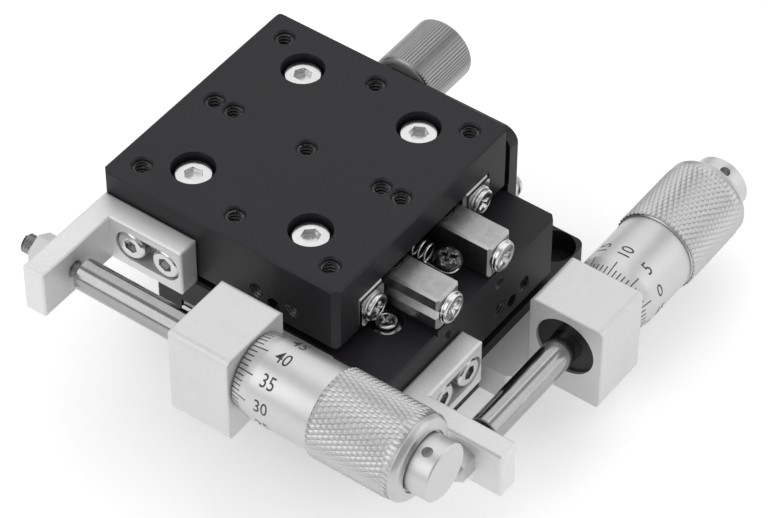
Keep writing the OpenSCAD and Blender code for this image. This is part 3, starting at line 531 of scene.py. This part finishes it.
def onCarrier(sheet, given, shape):
    # one copy on each carrier point, its z axis turned to the point's facing
    facing = sheet.node("GeometryNodeInputNamedAttribute", {"data_type": "FLOAT_VECTOR"}, {
        "Name": "facing"})
    spin = sheet.node("GeometryNodeInputNamedAttribute", {"data_type": "FLOAT"}, {"Name": "spin"})
    turn = sheet.node("FunctionNodeAlignRotationToVector", {"axis": "Z"}, {"Vector": facing})
    turn = sheet.node("FunctionNodeRotateRotation", {"rotation_space": "LOCAL"}, {
        "Rotation": turn, "Rotate By": sheet.rotation(z=spin)})
    return closeTree(sheet, given, sheet.copies(given["Geometry"], shape, turn))


def socketScrewTree():
    sheet, given = newTree("socketScrew", {
        "Head Radius": 3.5, "Head Height": 4.0, "Half Flats": 1.5, "Hex Depth": 2.0, "Edge": 0.3})
    r, h, flats = given["Head Radius"], given["Head Height"], given["Half Flats"]
    deep, edge = given["Hex Depth"], given["Edge"]
    return onCarrier(sheet, given, turnedShape(sheet, 36, [
        (0.0, h - deep - 0.25), (flats, h - deep, "hex"), (flats, h - 0.1, "hex"),
        (flats + 0.06, h - 0.02, "hex"), (flats + 0.16, h, "hex"), (r - edge * 1.1, h),
        (r - edge * 0.9, h - edge * 0.06), (r - edge * 0.1, h - edge * 0.85),
        (r, h - edge * 1.1), (r, 0.12), (r - 0.12, 0.0), (0.0, 0.0)]))


def panScrewTree():
    sheet, given = newTree("panScrew", {
        "Head Radius": 3.0, "Head Height": 2.0, "Arm": 1.75, "Recess": 1.1,
        "Washer Radius": 3.4, "Washer Height": 0.5})
    r, h, arm = given["Head Radius"], given["Head Height"], given["Arm"]
    deep, rim, base = given["Recess"], given["Washer Radius"], given["Washer Height"]
    top = h + base
    return onCarrier(sheet, given, turnedShape(sheet, 48, [
        (0.0, top - deep), (arm * 0.5, top - deep * 0.85, "cross"), (arm, top - 0.14, "cross"),
        (arm * 1.06 + 0.05, top - 0.1), (r * 0.7, top - 0.08), (r * 0.74, top),
        (r * 0.88, top - 0.02), (r * 0.95, top - 0.12), (r, top - 0.36), (r, base + 0.02),
        (rim - 0.15, base), (rim - 0.03, base - 0.08), (rim, base * 0.5), (rim - 0.05, 0.05),
        (rim - 0.12, 0.0), (0.0, 0.0)], 0.33))


def corners(u, v, z):
    return [(u * a, v * b, z) for a in (1, -1) for b in (1, -1)]


bothEnds = [(1, 0, 0), (1, 0, 0), (-1, 0, 0), (-1, 0, 0)]
socketScrews = {
    "outer_rail_screws": {
        "units": "x", "on": "upper", "spots": corners(15, 18.4979, 11.4), "facing": (0, 0, 1),
        "sizes": {"Head Radius": 4.25, "Head Height": 3.5, "Half Flats": 1.8, "Hex Depth": 1.5,
                  "Edge": 0.45}},
    "inner_rail_screws": {
        "units": "xy", "on": "lower", "spots": corners(15, 8.9974, 6.7), "facing": (0, 0, 1),
        "black": True,
        "sizes": {"Head Radius": 2.75, "Head Height": 3.0, "Half Flats": 1.25, "Hex Depth": 1.5,
                  "Edge": 0.2}},
    "holder_screws": {
        "units": "xy", "on": "head", "spots": [(-7.5, -33.2, -3.75), (13.1, -33.2, -3.75)],
        "offsetY": (0, 0, -3), "facing": (0, -1, 0),
        "sizes": {"Head Radius": 2.75, "Head Height": 3.0, "Half Flats": 1.25, "Hex Depth": 1.6,
                  "Edge": 0.45}},
    "bracket_screws": {
        "units": "xy", "on": "upper", "spots": [(-9.6, -31.3, 5.15), (-18.6, -31.3, 5.15)],
        "offsetY": (layout["headShift"]["y"], 0, 0), "facing": (0, -1, 0),
        "sizes": {"Head Radius": 3.5, "Head Height": 4.0, "Half Flats": 1.5, "Hex Depth": 2.2,
                  "Edge": 0.6}},
}
panScrews = {
    "outer_rail_screws": {
        "units": "y", "on": "upper", "spots": corners(15.9, 19.4979, 15.0), "facing": (0, 0, 1),
        "sizes": {"Washer Radius": 3.42, "Washer Height": 0.7, "Head Radius": 2.4,
                  "Head Height": 1.6, "Arm": 1.35, "Recess": 0.9}},
    "rail_end_screws": {
        "units": "xy", "on": "lower", "spots": corners(30, 8.9974, 5.4), "facing": bothEnds,
        "sizes": {"Washer Radius": 3.62, "Washer Height": 0.5, "Head Radius": 3.4,
                  "Head Height": 0.9, "Arm": 1.9, "Recess": 0.8}},
    "plate_screws": {
        "units": "xy", "on": "upper", "spots": corners(30.5, 18.4979, 4.4), "facing": bothEnds,
        "sizes": {"Washer Radius": 3.35, "Washer Height": 0.4, "Head Radius": 3.0,
                  "Head Height": 1.1, "Arm": 1.75, "Recess": 0.9}},
    "lock_plate_screws": {
        "units": "xy", "on": "lower", "spots": [(13.9, 33.2, -4.6), (-13.9, 33.2, -4.6)],
        "facing": (0, 1, 0), "sizes": {"Washer Radius": 2.6, "Washer Height": 0.05}},
}
# each kind of head: its tree, its table, and the turn of its recesses
for tree, table, spin in ((socketScrewTree(), socketScrews, (0.5, 1.3)),
                          (panScrewTree(), panScrews, (0.35, 0.9))):
    for label, row in table.items():
        frames, bodies = seats[row["on"]]
        skin, slotName = ("blackOxide", "black_steel") if "black" in row else (
            "nickelPlate", "nickel_screws")
        for unit in row["units"]:
            offset = Vector(row.get("offsetY", (0, 0, 0)) if unit == "y" else (0, 0, 0))
            spots = [Vector(p) + offset for p in row["spots"]]
            mesh = grow(tree, row["sizes"], skin, spots, row["facing"], spin)
            nodeName = unit + "_" + label
            addPiece(nodeName + "_heads", mesh, frames[unit], bodies[unit],
                     stands=[nodeName])
print("screws made")


def arcCorners(profile, steps=3):
    # a closed outline of (radius, height, corner size): each sized corner becomes a small arc
    points = []
    for i, (r, z, *size) in enumerate(profile):
        here = Vector((r, z))
        if not size:
            points.append((r, z))
            continue
        before = Vector(profile[i - 1][:2])
        after = Vector(profile[(i + 1) % len(profile)][:2])
        start = here + (before - here).normalized() * size[0]
        end = here + (after - here).normalized() * size[0]
        for k in range(steps + 1):
            t = k / steps
            spot = start * (1 - t) ** 2 + here * (2 * t * (1 - t)) + end * t ** 2
            points.append(tuple(spot))
    return points


def revolved(profile, around=96):
    points = arcCorners(profile)
    mesh = bpy.data.meshes.new("turned")
    with opened(mesh) as work:
        rings = []
        for i in range(around):
            a = fullTurn * i / around
            rings.append([
                work.verts.new((r * math.cos(a), r * math.sin(a), z)) for r, z in points])
        for one, two in zip(rings, rings[1:] + rings[:1]):
            for k in range(len(points)):
                j = (k + 1) % len(points)
                if points[k][0] > 1e-6 or points[j][0] > 1e-6:
                    work.faces.new((one[k], two[k], two[j], one[j]))
    return mesh


def knurlTree(look):
    # small pyramids in staggered rows round the z axis
    sheet, given = newTree("diamondKnurl", look)
    around, radius, pitch = given["Around"], given["Radius"], given["Pitch"]
    line, index = sheet.points(around * given["Rows"])
    row = sheet.maths("FLOOR", (index + 0.5) / around)
    odd = sheet.maths("FLOORED_MODULO", row, 2.0)
    angle = (index - row * around + odd * 0.5) * fullTurn / around
    height = given["Start"] + row * pitch * 0.5
    points = sheet.put(line, sheet.polar(radius, angle, height))
    tooth = sheet.node("GeometryNodeMeshCone", {"fill_type": "NGON"}, {
        "Vertices": 4, "Radius Top": given["Flat"], "Radius Bottom": 1.0, "Depth": 1.0}, "Mesh")
    share = sheet.ramp(height, given["Fade From"], given["Fade To"], 1.0, 0.05)
    size = sheet.vector(pitch * 0.5, radius * math.pi / around, given["Height"] * share)
    turn = sheet.rotation(y=math.pi / 2, z=angle)
    return closeTree(sheet, given, sheet.copies(points, tooth, turn, Scale=size))


def tickTree(look):
    # marks round the edge cone of a dial, every fifth one long
    sheet, given = newTree("dialTicks", look)
    line, index = sheet.points(given["Count"])
    turn = sheet.rotation(z=index * fullTurn / given["Count"] + given["Turn"])
    fifth = sheet.maths("COMPARE", sheet.maths("FLOORED_MODULO", index, 5.0), 0.0, 0.1)
    marks = []
    for share, length in ((fifth, given["Long"]), (1 - fifth, given["Short"])):
        bar = sheet.bar(given["Thick"], given["Width"], length)
        bar = sheet.moved(bar, Translation=sheet.vector(z=length * 0.5))
        bar = sheet.moved(bar, Translation=sheet.vector(given["Radius"], 0.0, given["Start"]),
                          Rotation=sheet.rotation(y=given["Slope"]))
        marks.append(sheet.copies(line, bar, turn, Selection=share))
    return closeTree(sheet, given, sheet.join(marks))


def scaleTree(look):
    # the fixed scale on a sleeve: a base line with millimetres on one side, halves on the other
    sheet, given = newTree("sleeveScale", look)
    radius, step, reach = given["Radius"], given["Step"], given["Reach"]
    line, index = sheet.points(given["Count"])
    half = sheet.maths("FLOORED_MODULO", index, 2.0)
    angle = given["Angle"] + (half * 2 - 1) * reach * 0.5 / radius
    points = sheet.put(line, sheet.polar(radius, angle, given["Start"] + index * step))
    bars = sheet.copies(points, sheet.bar(given["Thick"], reach, given["Width"]),
                        sheet.rotation(z=angle))
    length = (given["Count"] - 1) * step
    base = sheet.moved(
        sheet.bar(given["Thick"], given["Width"], length),
        Translation=sheet.polar(radius, given["Angle"], given["Start"] + length * 0.5),
        Rotation=sheet.rotation(z=given["Angle"]))
    return closeTree(sheet, given, sheet.join([bars, base]))


def wrappedNumber(number, look, angle, place):
    # a number wrapped round the axis: it reads along the axis, its top towards growing angle
    text = bpy.data.curves.new("number", "FONT")
    text.body = str(number)
    text.size = look["size"]
    text.align_x = "CENTER"
    text.align_y = "CENTER"
    text.offset = look["bold"]
    text.extrude = look["thick"]
    text.resolution_u = 4
    holder = bpy.data.objects.new("number", text)
    mesh = baked(holder)
    bpy.data.objects.remove(holder)
    cuts = 8
    with opened(mesh) as work:
        bmesh.ops.remove_doubles(work, verts=work.verts, dist=1e-5)
        for k in range(-cuts, cuts + 1):
            bmesh.ops.bisect_plane(
                work, geom=[*work.verts, *work.edges, *work.faces],
                plane_co=(0, look["size"] / 2 * k / cuts, 0), plane_no=(0, 1, 0), dist=1e-6)
        for v in work.verts:
            a = angle - v.co.y / look["radius"]
            r = look["radius"] + v.co.z
            v.co = (r * math.cos(a), r * math.sin(a), place + v.co.x * look["narrow"])
    return mesh


def joined(meshes):
    whole = bpy.data.meshes.new("joined")
    with opened(whole) as work:
        for mesh in meshes:
            work.from_mesh(mesh)
    return whole


def cutOff(mesh, level):
    # what stands below the level goes, and each cut tooth is closed again
    with opened(mesh) as work:
        bmesh.ops.bisect_plane(
            work, geom=[*work.verts, *work.edges, *work.faces], plane_co=(0, 0, level),
            plane_no=(0, 0, 1), dist=1e-6, clear_inner=True)
        bmesh.ops.holes_fill(work, edges=[e for e in work.edges if e.is_boundary], sides=0)


# A head's own z axis runs along u and its x axis points down, so an angle that is measured
# from the near side over the top starts at -y.
thimbleProfile = [
    (7.55, 10.5, 0.08), (8.3, 10.5, 0.1), (9.15, 14.5, 0.5), (9.15, 29.2, 0.12), (8.35, 29.2),
    (8.35, 50.3, 0.1), (3.52, 50.3, 0.1), (3.52, 47.3), (7.55, 47.3)]
gripProfile = [
    (8.36, 29.3), (9.15, 29.3, 0.05), (9.46, 29.62, 0.1), (9.46, 48.9), (9.68, 49.25, 0.25),
    (8.9, 50.55, 0.7), (6.85, 50.95, 0.15), (6.85, 50.33), (8.36, 50.33)]
knurlLook = {"Around": 48, "Rows": 17, "Radius": 9.48, "Height": 0.3, "Pitch": 2.3, "Start": 29.5,
             "Fade From": 46.8, "Fade To": 49.0, "Flat": 0.3}
tickLook = {"Count": 50, "Short": 2.1, "Long": 4.0, "Width": 0.26, "Thick": 0.03, "Radius": 8.3,
            "Start": 10.5, "Slope": 0.2094, "Turn": 0.0}
dialLook = {"size": 4.15, "narrow": 0.84, "bold": 0.016, "thick": 0.014, "radius": 9.15}
dials = {
    "x": {"zeroAt": 9.9 - 216.0, "numbersAt": 18.1},
    "y": {"zeroAt": 19.2, "numbersAt": 17.8},
}
barLook = {"Count": 51, "Step": 0.5, "Start": 10.6, "Radius": 7.05, "Reach": 1.5, "Width": 0.13,
           "Thick": 0.1, "Angle": math.radians(-135)}
scaleLook = {"size": 2.0, "narrow": 0.8, "bold": 0.0, "thick": 0.012, "radius": 7.05, "beside": 2.7}
knurls, scales, ticks = knurlTree(knurlLook), scaleTree(barLook), tickTree(tickLook)
for unit, dial in dials.items():
    place, body = axisFrame[unit], unit + "_screw"
    addPiece(unit + "_thimble_shell", revolved(thimbleProfile, 128), place, body, "satinChrome",
             [unit + "_thimble"])
    addPiece(unit + "_grip_body", revolved(gripProfile, 128), place, body, "knurledChrome",
             [unit + "_grip"])
    teeth = grow(knurls, knurlLook, "knurledChrome")
    cutOff(teeth, knurlLook["Start"])
    addPiece(unit + "_grip_knurl", teeth, place, body, smooth=60)
    zero = math.radians(-90) - math.radians(dial["zeroAt"])
    marks = grow(ticks, {"Turn": zero}, "scaleInk")
    addPiece(unit + "_dial_ticks", marks, place, body, smooth=1)
    # a tenth of a turn from number to number
    numbers = joined([
        wrappedNumber(n, dialLook, zero - math.radians(36 * n / 5), dial["numbersAt"])
        for n in range(0, 50, 5)])
    addPiece(unit + "_dial_numbers", numbers, place, body, "scaleInk", smooth=1)
    bars = grow(scales, barLook, "scaleInk")
    addPiece(unit + "_sleeve_scale", bars, place, lowerBody[unit], smooth=1)
    beside = barLook["Angle"] - scaleLook["beside"] / scaleLook["radius"]
    numbers = joined([
        wrappedNumber(n, scaleLook, beside, barLook["Start"] + n) for n in range(5, 25, 5)])
    addPiece(unit + "_sleeve_numbers", numbers, place, lowerBody[unit], "scaleInk", smooth=1)
print("dials made")


def straightKnurlTree(look):
    # four columns to a tooth, two high and two low, between a bevel at each end
    sheet, given = newTree("straightKnurl", look)
    around = given["Teeth"] * 4
    radius, deep, bevel = given["Radius"], given["Depth"], 0.3
    start, end = given["Start"], given["End"]
    grid, column, row = sheet.grid(around, 6)
    low = sheet.maths("GREATER_THAN", sheet.maths("FLOORED_MODULO", column, 4.0), 1.5)
    wavy, foot = radius - low * deep, radius - deep
    radii = [foot - bevel, foot, wavy, wavy, foot, foot - bevel]
    levels = [start - bevel, start - bevel, start, end, end + bevel, end + bevel]
    spot = sheet.polar(
        sheet.choose(row, radii), column * fullTurn / around, sheet.choose(row, levels))
    return closeTree(sheet, given, sheet.put(grid, spot))


knobLook = {"Teeth": 64, "Radius": 7.4, "Depth": 0.3, "Start": 0.6, "End": 14.8}
coreProfile = [
    (0, -9.0), (1.9, -9.0, 0.2), (1.9, 0.5), (5.2, 0.5, 0.1), (5.7, 0.0, 0.12), (6.8, 0.0, 0.2),
    (7.15, 0.4, 0.1), (7.0, 0.6), (7.0, 14.8), (7.15, 15.0, 0.1), (6.7, 15.4, 0.2),
    (2.2, 15.4, 0.2), (1.6, 14.9, 0.2), (0, 14.9)]
# painted light: a thin, lighter shell just over the knob's near face, so that face shows bright
# though the lamps leave it in shade
litFaceProfile = [
    (1.95, 0.44), (5.15, 0.44, 0.05), (5.72, -0.06, 0.08), (6.72, -0.06, 0.1), (6.72, 0.1),
    (1.95, 0.6)]
straightKnurls = straightKnurlTree(knobLook)
for unit, knobFinish in (("x", "lockSteel"), ("y", "lockSteelY")):
    place = unitFrame[unit] @ shifted(layout["restShift"], *layout["lockAxis"]) @ rotated(-90, "X")
    body = unit + "_lock"
    addPiece(unit + "_lock_knob_core", revolved(coreProfile), place, body, knobFinish,
             [unit + "_lock_knob"])
    # the lighter shell on the knob's near face is painted light
    addPiece(unit + "_lock_knob_collar", revolved(litFaceProfile), place, body, "bracketAnodised")
    skin = grow(straightKnurls, knobLook, knobFinish)
    addPiece(unit + "_lock_knob_knurl", skin, place, body, smooth=20)
print("lock knobs made")


def closeAsWire(sheet, given, line):
    # a round wire swept along the edges of a line
    path = sheet.node("GeometryNodeMeshToCurve", {}, {0: line})
    ring = sheet.node("GeometryNodeCurvePrimitiveCircle", {}, {
        "Resolution": given["Sides"], "Radius": given["Wire Radius"]})
    return closeTree(sheet, given, sheet.node("GeometryNodeCurveToMesh", {}, {
        "Curve": path, "Profile Curve": ring, "Fill Caps": True}))


def wireTree(look):
    sheet, given = newTree("wire", look)
    return closeAsWire(sheet, given, given["Geometry"])


def coilTree(look):
    sheet, given = newTree("coil", look)
    radius = given["Coil Radius"]
    line, index = sheet.points(given["Turns"] * given["Steps"] + 1)
    turns = index / given["Steps"]
    angle = turns * fullTurn
    spot = sheet.vector(
        given["Start"] + turns * given["Pitch"], radius * sheet.maths("COSINE", angle),
        radius * sheet.maths("SINE", angle))
    return closeAsWire(sheet, given, sheet.put(line, spot))


def hookPath(look):
    # round the upper post, then straight and up into the first turn
    r, start, bend = look["radius"], look["start"], look["bend"]
    path = [(look["upperPost"] + r * math.cos(math.radians(a)), r * math.sin(math.radians(a)), 0)
            for a in range(360, 89, -10)]
    path.append((start - bend, r, 0))
    steps = 5
    for k in range(1, steps):
        # a short blend from the straight lead into the coil's own rise
        t = k / steps
        path.append((start - bend * (1 - t) + look["lead"] * t * 0.02, r, bend * 0.28 * t * t))
    path.append((start + 0.02, r, 0.3))
    return path


springLook = {"radius": 2.3, "turns": 26.5, "wire": 0.32, "bend": 0.8, "start": -21.6,
              "end": 18.9, "upperPost": -26.0, "z": 5.9, "lead": 1.528}
hookLook = {"Wire Radius": springLook["wire"], "Sides": 12}
coilLength = springLook["end"] - springLook["start"]
coilLook = {"Coil Radius": springLook["radius"], "Turns": springLook["turns"],
            "Pitch": coilLength / springLook["turns"], "Start": springLook["start"],
            "Steps": 20, "Wire Radius": springLook["wire"], "Sides": 8}
wire, coil = wireTree(hookLook), coilTree(coilLook)
path = hookPath(springLook)
middle = springLook["start"] + springLook["end"]
hooks = {"upper": path, "lower": [(middle - x, -y, z) for x, y, z in path]}
for unit in "xy":
    place = unitFrame[unit] @ shifted(0, 0, springLook["z"])
    for end, points in hooks.items():
        edges = [(i, i + 1) for i in range(len(points) - 1)]
        hook = grow(wire, hookLook, "springWire", points, edges=edges)
        addPiece(unit + "_spring_" + end + "_hook", hook, place, seats[end][1][unit],
                 smooth=60)
    piece = addPiece(unit + "_spring_coil", grow(coil, coilLook, "springWire"), place,
                     lowerBody[unit], None, [unit + "_return_spring"], 60)
    anchor = toMetres @ place @ Vector((springLook["end"], 0, 0))
    unit + "_slide"
    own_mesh(piece)


def postTree(look):
    sheet, given = newTree("springPost", look)
    neck, long, head = given["Neck"], given["Neck Length"], given["Head"]
    sunk, top = given["Sunk"] * -1, long + given["High"]
    return onCarrier(sheet, given, turnedShape(sheet, 48, [
        (0.0, top - 1.1), (0.9, top - 0.95, "cross"), (1.8, top - 0.12, "cross"),
        (1.98, top - 0.02), (head * 0.72, top - 0.08), (head * 0.82, top - 0.3),
        (head * 0.92, top - 0.62), (head * 0.985, top - 1.05), (head, top - 1.35),
        (head, long + 0.15), (head - 0.15, long), (neck, long), (neck, 0.0),
        (neck + 0.02, -0.1), (neck, sunk), (0.0, sunk)], 0.27))


postLook = {"Neck": 1.5, "Neck Length": 6.0, "Head": 3.15, "High": 1.8, "Sunk": 3.5}
postsAt = {
    "lower": {"spot": (23.3, 0, 1), "facing": (0, 0, 1), "longer": {}},
    "upper": {"spot": (-26.0, 0, 10.9), "facing": (0, 0, -1), "longer": {"Neck Length": 6.1}},
}
posts = postTree(postLook)
for unit in "xy":
    for end, row in postsAt.items():
        post = grow(posts, postLook | row["longer"], "blackOxide", [row["spot"]], row["facing"],
                    (0.3, 0.0))
        addPiece(unit + "_" + end + "_post_screw", post, unitFrame[unit], seats[end][1][unit],
                 stands=[unit + "_" + end + "_spring_post"], smooth=40)
print("springs and posts made")


def threadTree(look):
    # a vee ridge that winds along a hole: rows of points go down it, each turn one pitch
    sheet, given = newTree("thread", look)
    around, depth, pitch = given["Around"], given["Depth"], given["Pitch"]
    last = sheet.maths("CEIL", depth / pitch) * 2 + 2
    grid, column, row = sheet.grid(around, last + 4)
    past = sheet.maths("GREATER_THAN", row, last + 0.5)
    low = sheet.maths("COMPARE", row, last + 1, 0.1)
    odd = sheet.maths("FLOORED_MODULO", row, 2.0) * (1 - past)
    outer = past * sheet.maths("LESS_THAN", row, last + 2.5)
    radius = given["Root"] - odd * (given["Root"] - given["Crest"]) + outer * given["Back"]
    fall = (row - column / around * 2 - odd * given["Lean"]) * pitch * 0.5
    fall = sheet.maths("MINIMUM", sheet.maths("MAXIMUM", fall, 0.0), depth)
    fall = fall * (1 - past) + low * depth
    spot = sheet.polar(radius, column * fullTurn / around, fall * -1)
    return onCarrier(sheet, given, sheet.put(grid, spot))


threadLook = {"Around": 28, "Root": 1.99, "Crest": 1.72, "Pitch": 0.7, "Depth": 5.5,
              "Back": 0.004, "Lean": 0.0}
# the ridges of an anvil screw stand proud of its plain free end
tapLooks = {
    "top": {"Depth": 5.1, "Root": 2.0, "Crest": 1.55, "Pitch": 0.9, "Lean": 0.45},
    "side": {"Depth": 6.0, "Crest": 1.74},
    "end": {"Depth": 5.0, "Root": 1.49, "Crest": 1.26, "Pitch": 0.5},
    "anvil": {"Depth": 3.1, "Root": 1.97, "Crest": 2.2, "Back": -0.06},
}
topPlaces = [(a, b) for a in (-24, 0, 24) for b in (-24, 0, 24)] + [(19, 0), (-19, 0)]
topSpots = [(a, b, 15.7) for a, b in topPlaces]
sideSpots = [(9.6, -29.95, 5.15), (18.6, -29.95, 5.15)]
# rows of name, look, seat, unit, facing and spots
taps = [("x_table_top_threads", "top", "upper", "x", (0, 0, 1), topSpots)]
for unit in "xy":
    taps.append((unit + "_side_tap_threads", "side", "upper", unit, (0, -1, 0), sideSpots))
for unit in "xy":
    for side, a in (("front", 1), ("back", -1)):
        taps.append((unit + "_end_tap_threads_" + side, "end", "lower", unit, (a, 0, 0),
                     [(29.95 * a, 9.15, -3.25), (29.95 * a, -9.15, -3.25)]))
    taps.append((unit + "_anvil_threads", "anvil", "upper", unit, (-1, 0, 0),
                 [(-36.15, -46.8, 5.15)]))
threads = threadTree(threadLook)
for name, kind, seat, unit, facing, spots in taps:
    skin, slotName = ("studSteel", None) if kind == "anvil" else ("threadBlack", "black_anodised")
    frames, bodies = seats[seat]
    mesh = grow(threads, threadLook | tapLooks[kind], skin, spots, facing, (0.0, 0.7))
    addPiece(name, mesh, frames[unit], bodies[unit], smooth=25)
print("threads made")

floorLook = {"size": 6.0, "colour": 0.92, "rough": 0.8, "glow": 0.3}
floorMesh = bpy.data.meshes.new("floor")
half = floorLook["size"] / 2
floorMesh.from_pydata(
    [(-half, -half, 0), (half, -half, 0), (half, half, 0), (-half, half, 0)], [], [(0, 1, 2, 3)])
floor = bpy.data.objects.new("floor", floorMesh)
bpy.context.scene.collection.objects.link(floor)
floorFinish = bpy.data.materials.new("paleFloor")
floorFinish.use_nodes = True
floorSockets = floorFinish.node_tree.nodes["Principled BSDF"].inputs
floorSockets["Base Color"].default_value = grey(floorLook["colour"])
floorSockets["Roughness"].default_value = floorLook["rough"]
floorSockets["Emission Color"].default_value = grey(1.0)
floorSockets["Emission Strength"].default_value = floorLook["glow"]
floorMesh.materials.append(floorFinish)

world = bpy.data.worlds.new("softRoom")
bpy.context.scene.world = world
world.use_nodes = True
roomSockets = world.node_tree.nodes["Background"].inputs
roomSockets["Color"].default_value = grey(1.0)
roomSockets["Strength"].default_value = 0.5

lamps = {
    "keyLeft": {"from": (-0.41, -0.72, 0.56), "far": 1.1, "size": 0.9, "power": 3.4},
    "keyRight": {"from": (0.72, 0.56, 0.41), "far": 1.1, "size": 0.9, "power": 2.4},
    "backLeft": {"from": (-0.41, 0.56, 0.72), "far": 1.2, "size": 1.2, "power": 3.4},
    "top": {"from": (0.1, 0.1, 1.0), "far": 1.2, "size": 1.1, "power": 2.2},
}
centre = (cadBox[0] + cadBox[1]) / 2
for name, lamp in lamps.items():
    light = bpy.data.lights.new(name, "AREA")
    light.shape = "SQUARE"
    light.size = lamp["size"]
    light.energy = lamp["power"]
    holder = bpy.data.objects.new(name, light)
    away = Vector(lamp["from"]).normalized()
    holder.location = centre + away * lamp["far"]
    holder.rotation_euler = away.to_track_quat("Z", "Y").to_euler()
    bpy.context.scene.collection.objects.link(holder)

view = {
    "right": (0.80692988, 0.59063684, 0.00350432), "up": (-0.42541042, 0.57706072, 0.6971563),
    "back": (0.40974399, -0.56404702, 0.71691061), "place": (0.3040215, -0.4210547, 0.5464627),
    "lens": 164.04, "sensor": 36, "near": 0.01,
}
camera = bpy.data.objects.new("camera", bpy.data.cameras.new("camera"))
camera.data.lens = view["lens"]
camera.data.sensor_width = view["sensor"]
camera.data.sensor_fit = "HORIZONTAL"
camera.data.clip_start = view["near"]
facing = Matrix((view["right"], view["up"], view["back"])).transposed().to_4x4()
camera.matrix_world = Matrix.Translation(view["place"]) @ facing
bpy.context.scene.collection.objects.link(camera)
bpy.context.scene.camera = camera
bpy.context.scene.view_settings.view_transform = "Standard"
print("stage, lights and camera set")
